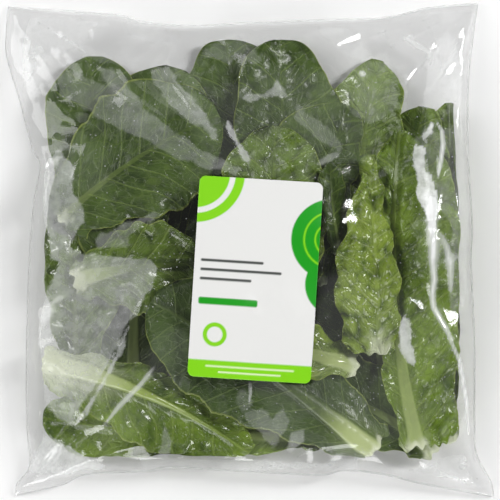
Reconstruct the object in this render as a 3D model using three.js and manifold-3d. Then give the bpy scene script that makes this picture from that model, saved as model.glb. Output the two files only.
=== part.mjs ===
// A clear film bag packed with loose cos lettuce leaves, lying on its back with its label up.
//
// The leaves are laid one by one on the pile, each keeping its own arch, cup and waved margin while it
// settles on what is below it. The film is then drawn over the finished pile and meets the back film
// along a seam. Every piece is a closed solid and stays clear of its neighbours.
//
// Millimetres, +Z up. The origin is under the middle of the bag, on the surface it lies on. +Y points to
// the bag's mouth.
import * as THREE from "three";
import { mergeVertices } from "three/addons/utils/BufferGeometryUtils.js";
import Module from "manifold-3d";

const wasm = await Module();
wasm.setup();

// Bag: the outline of its flat film as it is drawn in by what is packed in it, edge by edge
const LEFT_EDGE = [
  [-130, -136], [-129, -129], [-122, -119], [-123, -98], [-123, -60], [-121.5, -10], [-119, 25],
  [-115.5, 46], [-120, 56], [-127, 82], [-133, 101], [-135, 112], [-134, 135],
];
const RIGHT_EDGE = [
  [135, -137], [133.5, -128], [125.5, -113], [124, -96], [123.5, -50], [121.5, -8], [122, 15],
  [120, 55], [120.5, 92], [123.5, 118], [126.5, 137],
];
const FOOT_EDGE = [
  [-130, -136], [-104, -130], [-90, -124], [-56, -122], [-44, -120], [0, -122], [38, -124],
  [52, -121.5], [74, -124], [96, -129.5], [135, -137],
];
const MOUTH_EDGE = [
  [-134, 135], [-96, 132], [-72, 130], [-58, 126], [-32, 124], [0, 125.5], [38, 127], [76, 129],
  [98, 134], [126.5, 137],
];
const FILM_WALL = 0.7;
const SEAM_WIDTH = 3;
const SHOULDER_WIDTH = 6.5;
const SEAM_POCKET = 1.4;
const MOUTH_GAP = 2.6;
const BAG_CELLS = 20;

// Height of the seam above the surface in the middle of each edge, and at the corners
const SEAM_HEIGHT = { left: 18, right: 19, foot: 15, mouth: 8 };
const CORNER_HEIGHT = 1.5;
const BELLY_CURVE = 36;

// Leaves
const BLADE = 1.15;
const RIB_BASE_THICKNESS = 6.5;
const RIB_TIP_THICKNESS = 1.6;
const RIB_BASE_HALF_WIDTH = 7.5;
const RIB_TIP_HALF_WIDTH = 1.2;
const LEAF_ROWS = 13;
const LEAF_CLEARANCE = 1.3;
const LEAF_INSET = 7.4;
const LEAF_SOFT_ZONE = 9;
const LEAF_SWEEP = 0.3;
const SCALLOP = 1.4;
const LEAST_BLADE = 4;
const FULL_BLADE = 20;

// Label
const LABEL_WIDTH = 67;
const LABEL_LENGTH = 109;
const LABEL_CORNER = 3.5;
const LABEL_THICKNESS = 0.6;
const LABEL_CENTRE = [2.8, -16];
const LABEL_TURN = THREE.MathUtils.degToRad(-3.6);

// Each leaf from the bottom of the pile up: where its rib starts and its tip ends, the sideways bow of
// the rib, the width of the blade left and right of the rib, the share of it at the cut end, how far
// its back arches, how far its margins lift (or drop, below zero), how strongly they wave, and whether
// its underside is up. One is folded to a point, and is widest low down.
const UPTURNED = { under: true, wave: 3 };
const POINTED = { bow: 0, peak: 0.35, pointed: 0.7, wave: 3 };
const LEAVES = [
  { base: [-62, -100], tip: [-48, 60], bow: 8, wide: [38, 38], arch: 6, cup: 7, wave: 3 },
  { base: [76, -104], tip: [42, 58], bow: -8, wide: [38, 36], arch: 6, cup: 7, wave: 3 },
  { base: [4, -94], tip: [6, 50], bow: 6, wide: [38, 38], arch: 6, cup: -6, ...UPTURNED },
  { base: [-97, -78], tip: [-105, 40], bow: -4, wide: [18, 28], arch: 7, cup: 3, wave: 4 },
  { base: [109, -106], tip: [114, 50], bow: 4, wide: [24, 12], neck: 0.6, arch: 6, cup: 3, wave: 3 },
  { base: [100, -50], tip: [111, 81], bow: -3, wide: [18, 10], neck: 0.45, arch: 6, cup: 3, wave: 3 },
  { base: [84, -34], tip: [96, 79], bow: 4, wide: [18, 19], arch: 6, cup: -4, ...UPTURNED },
  { base: [60, -10], tip: [71, 105], bow: 4, wide: [22, 20], arch: 6, cup: 5, wave: 3.5 },
  { base: [40, -102], tip: [-117, -92], bow: 4, wide: [20, 20], arch: 6, cup: 4, ...UPTURNED },
  { base: [102, -112], tip: [18, -72], bow: -7, wide: [26, 24], arch: 6, cup: 5, wave: 3 },
  { base: [-4, -12], tip: [-14, 119], bow: -4, wide: [30, 28], arch: 6, cup: -5, ...UPTURNED, wave: 2.5 },
  { base: [40, -18], tip: [17, 117], bow: 7, wide: [27, 32], arch: 6, cup: 5, wave: 3.5 },
  { base: [-56, -6], tip: [-42, 101], bow: 5, wide: [30, 34], arch: 6, cup: 5, wave: 3.5 },
  { base: [-44, -42], tip: [-88, 107], bow: 10, wide: [31, 34], arch: 7, cup: -6, ...UPTURNED },
  { base: [24, -44], tip: [55, 79], bow: 6, wide: [36, 18], arch: 7, cup: -6, ...UPTURNED },
  { base: [-104, 16], tip: [-17, 74], bow: 5, wide: [38, 36], neck: 0.45, arch: 6, cup: -5, ...UPTURNED },
  { base: [-97, -17], tip: [-26, -8], bow: 3, wide: [24, 27], neck: 0.4, arch: 5, cup: 5, wave: 4 },
  { base: [-116, -60], tip: [0, -112], bow: 7, wide: [15, 28], neck: 0.5, arch: 7, cup: 4, ...UPTURNED },
  { base: [68, -111], tip: [-54, -28], bow: -4, wide: [34, 36], neck: 0.42, arch: 7, cup: -6, ...UPTURNED },
  { base: [92, -109], tip: [82, 66], bow: 8, wide: [14, 40], neck: 0.62, arch: 6, cup: 2, wave: 3.5 },
  { base: [60, -62], tip: [-14, -34], bow: 5, wide: [18, 20], neck: 0.4, arch: 5, cup: 4, wave: 4 },
  { base: [22, -46], tip: [14, 68], bow: 4, wide: [30, 30], arch: 7, cup: -6, wave: 4 },
  { base: [50, -2], tip: [44, 48], bow: 2, wide: [7, 8], neck: 0.7, arch: 1, cup: 2, wave: 1 },
  { base: [71, -57], tip: [65, 52], wide: [23, 12], neck: 0.8, arch: 4, cup: -4, ...POINTED },
];

const COLOURS = {
  leaf: "#4b6a2c",
  underside: "#5d7a45",
  film: "#e9ecec",
  label: "#f2f3f1",
};

const smooth = THREE.MathUtils.smoothstep;
const lerp = THREE.MathUtils.lerp;

// The bag's outline: a point on each edge, t or s from 0 to 1
const edgeThrough = (points) => {
  const curve = new THREE.SplineCurve(points.map((point) => new THREE.Vector2(...point)));
  return (share) => curve.getPointAt(share).toArray();
};
const leftEdge = edgeThrough(LEFT_EDGE);
const rightEdge = edgeThrough(RIGHT_EDGE);
const footEdge = edgeThrough(FOOT_EDGE);
const mouthEdge = edgeThrough(MOUTH_EDGE);
const BAG_HALF_WIDTH = 135;
const BAG_HALF_LENGTH = 137;

// A point inside the outline: the patch spanned by the four edges
function bagPoint(s, t) {
  const [left, right, foot, mouth] = [leftEdge(t), rightEdge(t), footEdge(s), mouthEdge(s)];
  const corners = [leftEdge(0), rightEdge(0), leftEdge(1), rightEdge(1)];
  return [0, 1].map(
    (k) =>
      lerp(left[k], right[k], s) +
      lerp(foot[k], mouth[k], t) -
      lerp(lerp(corners[0][k], corners[1][k], s), lerp(corners[2][k], corners[3][k], s), t),
  );
}

// Height of the seam round the outline, and of the back film inside it: flat on the surface under the
// belly, and rising to the seam
const seamShare = (t) => Math.pow(Math.sin(Math.PI * t), 0.8);
function seamHeights(s, t) {
  return {
    left: lerp(CORNER_HEIGHT, SEAM_HEIGHT.left, seamShare(t)),
    right: lerp(CORNER_HEIGHT, SEAM_HEIGHT.right, seamShare(t)),
    foot: lerp(CORNER_HEIGHT, SEAM_HEIGHT.foot, seamShare(s)),
    mouth: lerp(CORNER_HEIGHT, SEAM_HEIGHT.mouth, seamShare(s)) + 1.5 * Math.sin(14 * s) * seamShare(s),
  };
}
function backHeight(s, t) {
  const width = 2 * BAG_HALF_WIDTH;
  const length = 2 * BAG_HALF_LENGTH;
  const seam = seamHeights(s, t);
  const rise = (height, distance) => height * Math.pow(1 - smooth(distance, 0, BELLY_CURVE), 1.3);
  return Math.max(
    rise(seam.left, s * width),
    rise(seam.right, (1 - s) * width),
    rise(seam.foot, t * length),
    rise(seam.mouth, (1 - t) * length),
  );
}

// The pile: the height of everything laid so far, on a fine square raster
const RASTER = 1;
const RASTER_HALF = 142;
const RASTER_SIDE = 2 * RASTER_HALF + 1;
const pile = new Float64Array(RASTER_SIDE * RASTER_SIDE).fill(-1);
const cellOf = (value) => Math.min(RASTER_SIDE - 2, Math.max(0, Math.floor(value / RASTER) + RASTER_HALF));

function pileHeight(x, y) {
  const at = cellOf(y) * RASTER_SIDE + cellOf(x);
  return Math.max(pile[at], pile[at + 1], pile[at + RASTER_SIDE], pile[at + RASTER_SIDE + 1]);
}

// Lays a sheet's upper face on the pile. A raster point just outside a triangle counts as on it, and a
// steep triangle counts a little higher, so that the pile is never read too low.
const EDGE_REACH = 1.1;
function lay(sheet) {
  const top = sheet.z.map((z, i) => z + sheet.above[i]);
  for (const [a, b, c] of sheet.triangles) {
    const [ax, bx, cx] = [sheet.x[a], sheet.x[b], sheet.x[c]];
    const [ay, by, cy] = [sheet.y[a], sheet.y[b], sheet.y[c]];
    const area = (bx - ax) * (cy - ay) - (cx - ax) * (by - ay);
    if (Math.abs(area) < 1e-9) continue;
    const slopeX = ((top[b] - top[a]) * (cy - ay) - (top[c] - top[a]) * (by - ay)) / area;
    const slopeY = ((top[c] - top[a]) * (bx - ax) - (top[b] - top[a]) * (cx - ax)) / area;
    const lift = 0.35 * Math.min(3, Math.hypot(slopeX, slopeY));
    const ends = Math.hypot(ax - cx, ay - cy);
    const longest = Math.max(Math.hypot(bx - ax, by - ay), Math.hypot(cx - bx, cy - by), ends);
    const slack = (EDGE_REACH * longest) / Math.abs(area);
    const highest = Math.max(top[a], top[b], top[c]);
    const firstRow = cellOf(Math.min(ay, by, cy) - EDGE_REACH);
    const lastRow = cellOf(Math.max(ay, by, cy)) + 2;
    const firstCol = cellOf(Math.min(ax, bx, cx) - EDGE_REACH);
    const lastCol = cellOf(Math.max(ax, bx, cx)) + 2;
    for (let row = firstRow; row <= lastRow; row++)
      for (let col = firstCol; col <= lastCol; col++) {
        const x = (col - RASTER_HALF) * RASTER;
        const y = (row - RASTER_HALF) * RASTER;
        const shareB = ((x - ax) * (cy - ay) - (cx - ax) * (y - ay)) / area;
        const shareC = ((bx - ax) * (y - ay) - (x - ax) * (by - ay)) / area;
        if (Math.min(shareB, shareC, 1 - shareB - shareC) < -slack) continue;
        const height = Math.min(highest, top[a] + slopeX * (x - ax) + slopeY * (y - ay)) + lift;
        const at = row * RASTER_SIDE + col;
        if (height > pile[at]) pile[at] = height;
      }
  }
}

// A sheet: rows by columns of points in plan, its natural shape, and how far its two faces lie from it
function makeSheet(rows, columns, pointAt) {
  const sheet = { rows, columns, x: [], y: [], shape: [], above: [], below: [], fixed: [], z: [] };
  sheet.triangles = [];
  for (let i = 0; i <= rows; i++)
    for (let j = 0; j <= columns; j++) {
      const point = pointAt(i, j);
      sheet.x.push(point.x);
      sheet.y.push(point.y);
      sheet.shape.push(point.shape ?? 0);
      sheet.above.push(point.above);
      sheet.below.push(point.below);
      sheet.fixed.push(point.fixed ?? false);
    }
  const at = (i, j) => i * (columns + 1) + j;
  for (let i = 0; i < rows; i++)
    for (let j = 0; j < columns; j++) {
      sheet.triangles.push([at(i, j), at(i, j + 1), at(i + 1, j)]);
      sheet.triangles.push([at(i + 1, j), at(i, j + 1), at(i + 1, j + 1)]);
    }
  return sheet;
}

// Points spread over every triangle of a sheet, with the height that its lower face must clear there
const SAMPLE_STEP = 2;
function samplesOf(sheet, clearance) {
  const samples = [];
  for (const [a, b, c] of sheet.triangles) {
    const side = (p, q) => Math.hypot(sheet.x[p] - sheet.x[q], sheet.y[p] - sheet.y[q]);
    const steps = Math.max(2, Math.ceil(Math.max(side(a, b), side(b, c), side(c, a)) / SAMPLE_STEP));
    for (let p = 0; p <= steps; p++)
      for (let q = 0; q <= steps - p; q++) {
        const shares = [p / steps, q / steps, 1 - (p + q) / steps];
        const x = shares[0] * sheet.x[a] + shares[1] * sheet.x[b] + shares[2] * sheet.x[c];
        const y = shares[0] * sheet.y[a] + shares[1] * sheet.y[b] + shares[2] * sheet.y[c];
        samples.push({ points: [a, b, c], shares, floor: pileHeight(x, y) + clearance });
      }
  }
  return samples;
}

// Lets a sheet down on the pile: it falls, its bends even out, and every point that sinks into the pile
// is pushed up again. `drape` is how far each point lies from the sheet's natural shape.
const EARLY_FALL = 0.5;
function settle(sheet, { clearance, rounds, fall, stiffness }) {
  const samples = samplesOf(sheet, clearance);
  const { rows, columns, shape, below, fixed } = sheet;
  const at = (i, j) => i * (columns + 1) + j;
  const highest = samples.reduce((most, sample) => Math.max(most, sample.floor), 0);
  const reach = Math.max(...shape.map((value, i) => below[i] - value));
  let drape = shape.map((value, i) => (fixed[i] ? sheet.z[i] - value : highest + reach));
  const pushUp = () => {
    let worst = 0;
    for (const { points, shares, floor } of samples) {
      let height = 0;
      let weight = 0;
      points.forEach((point, k) => {
        height += shares[k] * (drape[point] + shape[point] - below[point]);
        if (!fixed[point]) weight += shares[k] * shares[k];
      });
      const lack = floor - height;
      if (lack <= 0 || weight < 1e-6) continue;
      worst = Math.max(worst, lack);
      points.forEach((point, k) => {
        if (!fixed[point]) drape[point] += (lack * shares[k]) / weight;
      });
    }
    return worst;
  };
  for (let round = 0; round < rounds; round++) {
    const before = drape.slice();
    const drop = round < rounds / 4 ? EARLY_FALL : fall;
    for (let i = 0; i <= rows; i++)
      for (let j = 0; j <= columns; j++) {
        const here = at(i, j);
        if (fixed[here]) continue;
        const sides = [];
        if (i > 0 && i < rows) sides.push(before[at(i - 1, j)], before[at(i + 1, j)]);
        if (j > 0 && j < columns) sides.push(before[at(i, j - 1)], before[at(i, j + 1)]);
        if (i === 0) sides.push(2 * before[at(1, j)] - before[at(2, j)]);
        if (i === rows) sides.push(2 * before[at(rows - 1, j)] - before[at(rows - 2, j)]);
        if (j === 0) sides.push(2 * before[at(i, 1)] - before[at(i, 2)]);
        if (j === columns) sides.push(2 * before[at(i, columns - 1)] - before[at(i, columns - 2)]);
        const even = sides.reduce((sum, value) => sum + value, 0) / sides.length;
        drape[here] = lerp(before[here], even, stiffness) - drop;
      }
    pushUp();
  }
  for (let pass = 0; pass < 400 && pushUp() > 0.02; pass++);
  sheet.z = drape.map((value, i) => value + shape[i]);
  return sheet;
}

// The closed surface between a sheet's two faces, as a manifold solid or as a geometry
function shellArrays(sheet) {
  const count = sheet.x.length;
  const { rows, columns } = sheet;
  const vertices = [];
  for (let i = 0; i < count; i++) vertices.push(sheet.x[i], sheet.y[i], sheet.z[i] + sheet.above[i]);
  for (let i = 0; i < count; i++) vertices.push(sheet.x[i], sheet.y[i], sheet.z[i] - sheet.below[i]);
  const faces = [];
  for (const [a, b, c] of sheet.triangles) faces.push(a, b, c, count + a, count + c, count + b);
  const at = (i, j) => i * (columns + 1) + j;
  const rim = [];
  for (let j = 0; j < columns; j++) rim.push(at(0, j));
  for (let i = 0; i < rows; i++) rim.push(at(i, columns));
  for (let j = columns; j > 0; j--) rim.push(at(rows, j));
  for (let i = rows; i > 0; i--) rim.push(at(i, 0));
  rim.forEach((a, k) => {
    const b = rim[(k + 1) % rim.length];
    faces.push(b, a, count + a, b, count + a, count + b);
  });
  return { vertices, faces };
}

function geometryOf({ vertices, faces }) {
  const geometry = new THREE.BufferGeometry();
  geometry.setAttribute("position", new THREE.BufferAttribute(new Float32Array(vertices), 3));
  geometry.setIndex(Array.from(faces));
  geometry.computeVertexNormals();
  return geometry;
}

function solidOf({ vertices, faces }) {
  const merged = mergeVertices(
    new THREE.BufferGeometry()
      .setAttribute("position", new THREE.BufferAttribute(new Float32Array(vertices), 3))
      .setIndex(Array.from(faces)),
  );
  return new wasm.Manifold(
    new wasm.Mesh({
      numProp: 3,
      vertProperties: merged.attributes.position.array,
      triVerts: new Uint32Array(merged.index.array),
    }),
  );
}

function piece(name, geometry, colour, settings = {}) {
  const finish = { color: colour, roughness: 0.5, metalness: 0, ...settings };
  const material = new THREE.MeshStandardMaterial(finish);
  const mesh = new THREE.Mesh(geometry, material);
  mesh.name = name;
  return mesh;
}

// Grid lines of the bag: a narrow seam, a shoulder, then even cells
function bagLines(size) {
  const first = SEAM_WIDTH / size;
  const second = SHOULDER_WIDTH / size;
  const lines = [0, first];
  for (let k = 0; k <= BAG_CELLS; k++) lines.push(lerp(second, 1 - second, k / BAG_CELLS));
  return [...lines, 1 - first, 1];
}
const linesAcross = bagLines(2 * BAG_HALF_WIDTH);
const linesAlong = bagLines(2 * BAG_HALF_LENGTH);
const LAST_ACROSS = linesAcross.length - 1;
const LAST_ALONG = linesAlong.length - 1;

// Back film: from the surface up to the seam
const backFilm = makeSheet(LAST_ALONG, LAST_ACROSS, (i, j) => {
  const [x, y] = bagPoint(linesAcross[j], linesAlong[i]);
  return { x, y, above: FILM_WALL, below: 0 };
});
backFilm.z = backFilm.x.map((_, k) => {
  const [i, j] = [Math.floor(k / (LAST_ACROSS + 1)), k % (LAST_ACROSS + 1)];
  return backHeight(linesAcross[j], linesAlong[i]);
});
lay(backFilm);

// The straight limits that keep a leaf inside the seam, read from the outline at a point's own height
function softLimit(value, low, high) {
  const squeeze = (past) => LEAF_SOFT_ZONE * Math.tanh(past / LEAF_SOFT_ZONE);
  if (value > high - LEAF_SOFT_ZONE) return high - LEAF_SOFT_ZONE + squeeze(value - high + LEAF_SOFT_ZONE);
  if (value < low + LEAF_SOFT_ZONE) return low + LEAF_SOFT_ZONE - squeeze(low + LEAF_SOFT_ZONE - value);
  return value;
}
function keepInside(x, y) {
  const along = THREE.MathUtils.clamp((y + BAG_HALF_LENGTH) / (2 * BAG_HALF_LENGTH), 0, 1);
  const across = THREE.MathUtils.clamp((x + BAG_HALF_WIDTH) / (2 * BAG_HALF_WIDTH), 0, 1);
  return [
    softLimit(x, leftEdge(along)[0] + LEAF_INSET, rightEdge(along)[0] - LEAF_INSET),
    softLimit(y, footEdge(across)[1] + LEAF_INSET, mouthEdge(across)[1] - LEAF_INSET),
  ];
}

// A cos leaf: a long paddle, narrow where it was cut, widest past the middle, and round at the tip. Its
// rows lie closer together round the tip.
const TIP_START = 0.68;
const TIP_ROWS = 5;
function rowAt(i) {
  const body = LEAF_ROWS - TIP_ROWS;
  if (i <= body) return (TIP_START * i) / body;
  return TIP_START + (1 - TIP_START) * Math.sin((0.5 * Math.PI * (i - body)) / TIP_ROWS);
}
function leafWidth(u, { neck = 0.34, peak = 0.6, pointed = 0 }) {
  const past = Math.max(0, (u - TIP_START) / (1 - TIP_START));
  const body = lerp(neck, 1, smooth(u, 0, peak)) * (1 - pointed * smooth(u, peak, 1));
  return body * Math.pow(1 - 0.95 * Math.pow(past, 3), 0.6);
}
const COLUMN_SHARES = [1, 0.66, 0.3, 0, 0, 0, 0.3, 0.66, 1];
const RIB_COLUMN = 4;

function leafSheet(leaf, seed) {
  const base = new THREE.Vector2(...leaf.base);
  const tip = new THREE.Vector2(...leaf.tip);
  const along = tip.clone().sub(base);
  const normal = new THREE.Vector2(-along.y, along.x).normalize();
  const middle = base.clone().lerp(tip, 0.5).addScaledVector(normal, 2 * leaf.bow);
  const rib = new THREE.QuadraticBezierCurve(base, middle, tip);
  const size = Math.min(1, Math.max(...leaf.wide) / FULL_BLADE);
  return makeSheet(LEAF_ROWS, COLUMN_SHARES.length - 1, (i, j) => {
    const u = rowAt(i);
    const side = Math.sign(j - RIB_COLUMN);
    const share = COLUMN_SHARES[j];
    const ribHalf = size * lerp(RIB_BASE_HALF_WIDTH, RIB_TIP_HALF_WIDTH, Math.pow(u, 0.7));
    const blade = side < 0 ? leaf.wide[0] : leaf.wide[1];
    const phase = seed * 2.4 + (side < 0 ? 1.3 : 0);
    const waves = 2 * Math.PI * (2.6 + 0.25 * (seed % 4)) * u + phase;
    const margin = Math.max(blade * leafWidth(u, leaf), ribHalf / 2 + LEAST_BLADE * size);
    const offset = (Math.abs(side) * ribHalf) / 2 + share * (margin - ribHalf / 2);
    const sweep = (LEAF_SWEEP * smooth(u, 0.3, 0.9) * offset * offset) / (blade * along.length());
    const scallop = SCALLOP * size * share * share * Math.sin(waves * 1.7);
    const place = rib.getPoint(Math.max(0, u - sweep));
    const sideways = rib.getTangent(Math.max(0, u - sweep));
    const [x, y] = keepInside(
      place.x + side * sideways.y * (offset + scallop),
      place.y - side * sideways.x * (offset + scallop),
    );
    const ribDepth = size * (lerp(RIB_BASE_THICKNESS, RIB_TIP_THICKNESS, Math.pow(u, 0.8)) - BLADE);
    const ribPart = share > 0 ? 0 : j === RIB_COLUMN ? ribDepth : 0.62 * ribDepth;
    return {
      x,
      y,
      shape:
        leaf.arch * Math.sin(Math.PI * u) +
        leaf.cup * share * share * (0.4 + 0.6 * u) +
        leaf.wave * Math.pow(share, 2.2) * Math.sin(waves),
      above: BLADE / 2 + (leaf.under ? ribPart : 0),
      below: BLADE / 2 + (leaf.under ? 0 : ribPart),
    };
  });
}

const part = new THREE.Group();

LEAVES.forEach((leaf, k) => {
  const sheet = leafSheet(leaf, k + 1);
  settle(sheet, { clearance: LEAF_CLEARANCE, rounds: 500, fall: 0.08, stiffness: 0.5 });
  lay(sheet);
  const colour = leaf.under ? COLOURS.underside : COLOURS.leaf;
  part.add(piece(`leaf_${String(k + 1).padStart(2, "0")}`, geometryOf(shellArrays(sheet)), colour));
});

// Front film: drawn over the pile, held at the seam on three sides and open at the mouth
const onSeam = (i, j) => i <= 1 || j <= 1 || j >= LAST_ACROSS - 1;
const frontFilm = makeSheet(LAST_ALONG, LAST_ACROSS, (i, j) => {
  const [x, y] = bagPoint(linesAcross[j], linesAlong[i]);
  return { x, y, above: FILM_WALL, below: 0, fixed: onSeam(i, j) || i >= LAST_ALONG - 1 };
});
frontFilm.z = frontFilm.x.map((_, k) => {
  const [i, j] = [Math.floor(k / (LAST_ACROSS + 1)), k % (LAST_ACROSS + 1)];
  const edge = i === 0 || j === 0 || j === LAST_ACROSS;
  const atMouth = i >= LAST_ALONG - 1 && !edge;
  const gap = atMouth ? MOUTH_GAP + SEAM_POCKET * seamShare(linesAcross[j]) : SEAM_POCKET;
  return backFilm.z[k] + FILM_WALL + (edge ? 0 : gap);
});
settle(frontFilm, { clearance: 0.9, rounds: 500, fall: 0.03, stiffness: 0.6 });

// Bag: the outside between the two films, less the inside, which runs out through the mouth
const filmSpan = frontFilm.z.map((z, k) => z - backFilm.z[k]);
const outside = { ...backFilm, z: frontFilm.z, above: frontFilm.above, below: filmSpan };
const MOUTH_RUN_OUT = 6;
const insideRows = LAST_ALONG;
const inside = makeSheet(insideRows, LAST_ACROSS - 2, (i, j) => {
  const row = Math.min(i + 1, LAST_ALONG);
  const k = row * (LAST_ACROSS + 1) + j + 1;
  const past = i === insideRows ? MOUTH_RUN_OUT : 0;
  return { x: frontFilm.x[k], y: frontFilm.y[k] + past, above: 0, below: filmSpan[k] - FILM_WALL };
});
inside.z = inside.x.map((_, n) => {
  const [i, j] = [Math.floor(n / (LAST_ACROSS - 1)), n % (LAST_ACROSS - 1)];
  return frontFilm.z[Math.min(i + 1, LAST_ALONG) * (LAST_ACROSS + 1) + j + 1];
});
const bag = solidOf(shellArrays(outside)).subtract(solidOf(shellArrays(inside))).getMesh();
part.add(
  piece("film_bag", geometryOf({ vertices: bag.vertProperties, faces: bag.triVerts }), COLOURS.film, {
    transparent: true,
    opacity: 0.3,
    roughness: 0.12,
  }),
);

// Label: a round-cornered rectangle pressed on the front film. The corner point of its grid is drawn in
// to the corner's arc.
const LABEL_ROWS = 12;
const LABEL_COLUMNS = 8;
const CORNER_PULL = LABEL_CORNER * (1 - Math.SQRT1_2);
function labelLine(k, count, size) {
  if (k === 0 || k === count) return (Math.sign(k - count / 2) * size) / 2;
  return lerp(LABEL_CORNER - size / 2, size / 2 - LABEL_CORNER, (k - 1) / (count - 2));
}
lay(frontFilm);
const label = makeSheet(LABEL_ROWS, LABEL_COLUMNS, (i, j) => {
  const across = labelLine(j, LABEL_COLUMNS, LABEL_WIDTH);
  const up = labelLine(i, LABEL_ROWS, LABEL_LENGTH);
  const atCorner = (i === 0 || i === LABEL_ROWS) && (j === 0 || j === LABEL_COLUMNS);
  const pull = atCorner ? CORNER_PULL : 0;
  const flat = new THREE.Vector2(across - pull * Math.sign(across), up - pull * Math.sign(up));
  flat.rotateAround(new THREE.Vector2(), LABEL_TURN);
  return { x: flat.x + LABEL_CENTRE[0], y: flat.y + LABEL_CENTRE[1], above: LABEL_THICKNESS, below: 0 };
});
settle(label, { clearance: 0.3, rounds: 300, fall: 0.2, stiffness: 0.3 });
part.add(piece("label", geometryOf(shellArrays(label)), COLOURS.label));

export default part;
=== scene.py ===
"""A clear film bag packed with loose cos lettuce leaves, lying on its back with its label up.

The leaves follow the same plan as the part's own solids, and take their height from them. Each is then
drawn finely, with its veins, puckers and ruffled margin, and laid clear of the leaf below. The film is
stretched over the finished pile as flat facets between the points it touches, and creased at its seams.
"""

import math

import bpy
import numpy as np
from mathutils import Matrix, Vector
from mathutils.bvhtree import BVHTree
from mathutils.geometry import delaunay_2d_cdt


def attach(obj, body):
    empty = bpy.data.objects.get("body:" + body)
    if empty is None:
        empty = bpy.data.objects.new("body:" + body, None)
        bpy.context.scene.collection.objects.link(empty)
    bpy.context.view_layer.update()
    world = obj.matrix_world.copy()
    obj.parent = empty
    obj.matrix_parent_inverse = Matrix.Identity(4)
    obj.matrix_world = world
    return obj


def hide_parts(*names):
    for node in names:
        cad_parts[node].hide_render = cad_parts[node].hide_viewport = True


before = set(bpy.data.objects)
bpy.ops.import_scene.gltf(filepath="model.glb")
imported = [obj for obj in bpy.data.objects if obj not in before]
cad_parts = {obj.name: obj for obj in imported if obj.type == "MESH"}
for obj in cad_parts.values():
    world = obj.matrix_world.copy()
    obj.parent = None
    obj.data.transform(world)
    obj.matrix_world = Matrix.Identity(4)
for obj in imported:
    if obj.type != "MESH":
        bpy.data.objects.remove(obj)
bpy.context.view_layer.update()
MM = 0.001

# ---- camera and light: the photograph looks straight down on the bag
VIEW_WIDTH = 0.275
CAMERA_HEIGHT, SEAM_LEVEL = 1.6, 0.012
SENSOR = 36
camera_data = bpy.data.cameras.new("overhead_camera")
camera_data.sensor_width = SENSOR
camera_data.lens = SENSOR * (CAMERA_HEIGHT - SEAM_LEVEL) / VIEW_WIDTH
camera = bpy.data.objects.new("overhead_camera", camera_data)
camera.location = (0, 0, CAMERA_HEIGHT)
bpy.context.scene.collection.objects.link(camera)
bpy.context.scene.camera = camera
bpy.context.scene.view_settings.view_transform = "Standard"


def linear(colour):
    """An sRGB hex colour as linear red, green, blue and alpha."""
    values = [int(colour[k : k + 2], 16) / 255 for k in (1, 3, 5)]
    return [v / 12.92 if v <= 0.04045 else ((v + 0.055) / 1.055) ** 2.4 for v in values] + [1]


def add_node(tree, kind, inputs=None, **settings):
    """A node with its settings; each input takes a value, an output socket, or a node's first output."""
    node = tree.nodes.new(kind)
    for key, value in settings.items():
        setattr(node, key, value)
    for key, value in (inputs or {}).items():
        value = value.outputs[0] if isinstance(value, bpy.types.Node) else value
        if isinstance(value, bpy.types.NodeSocket):
            tree.links.new(value, node.inputs[key])
        else:
            node.inputs[key].default_value = value
    return node


def new_material(name):
    """An empty material, and its node tree."""
    material = bpy.data.materials.new(name)
    material.use_nodes = True
    material.node_tree.nodes.clear()
    return material, material.node_tree


LIGHTS_AIM = (0, 0, 0.02)


def soft_light(name, place, size, power):
    """A rectangular softbox that faces the bag; metres and watts."""
    data = bpy.data.lights.new(name, "AREA")
    data.shape = "RECTANGLE"
    data.size, data.size_y = size
    data.energy = power
    light = bpy.data.objects.new(name, data)
    light.location = place
    light.rotation_euler = (Vector(LIGHTS_AIM) - Vector(place)).to_track_quat("-Z", "Y").to_euler()
    bpy.context.scene.collection.objects.link(light)


soft_light("left_softbox", (-1.2, 0.6, 1.0), (0.8, 1.2), 12)
soft_light("right_key", (1.08, 0.43, 1.08), (0.22, 0.7), 16)
soft_light("head_softbox", (0.0, 1.4, 1.0), (1.3, 0.5), 2)
soft_light("foot_softbox", (-0.6, -1.5, 0.75), (1.3, 0.5), 16)

# The room's brightness at the top of its walls and overhead, and where up the one gives way to the other
ROOM_LIGHT, ROOM_RISE = (0.85, 0.08), (0.05, 0.6)


def studio_room():
    """White walls round the table under a dark ceiling: the film's steep sides mirror the walls."""
    world = bpy.data.worlds.new("studio_room")
    world.use_nodes = True
    tree = world.node_tree
    heading = add_node(tree, "ShaderNodeTexCoord").outputs["Generated"]
    up = add_node(tree, "ShaderNodeSeparateXYZ", {"Vector": heading}).outputs["Z"]
    ends = dict(zip(("From Min", "From Max", "To Min", "To Max"), ROOM_RISE + ROOM_LIGHT))
    glow = add_node(tree, "ShaderNodeMapRange", {"Value": up, **ends}, interpolation_type="SMOOTHSTEP")
    backdrop = tree.nodes["Background"]
    backdrop.inputs["Color"].default_value = linear("#F6F6F5")
    tree.links.new(glow.outputs[0], backdrop.inputs["Strength"])
    bpy.context.scene.world = world


studio_room()

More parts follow.
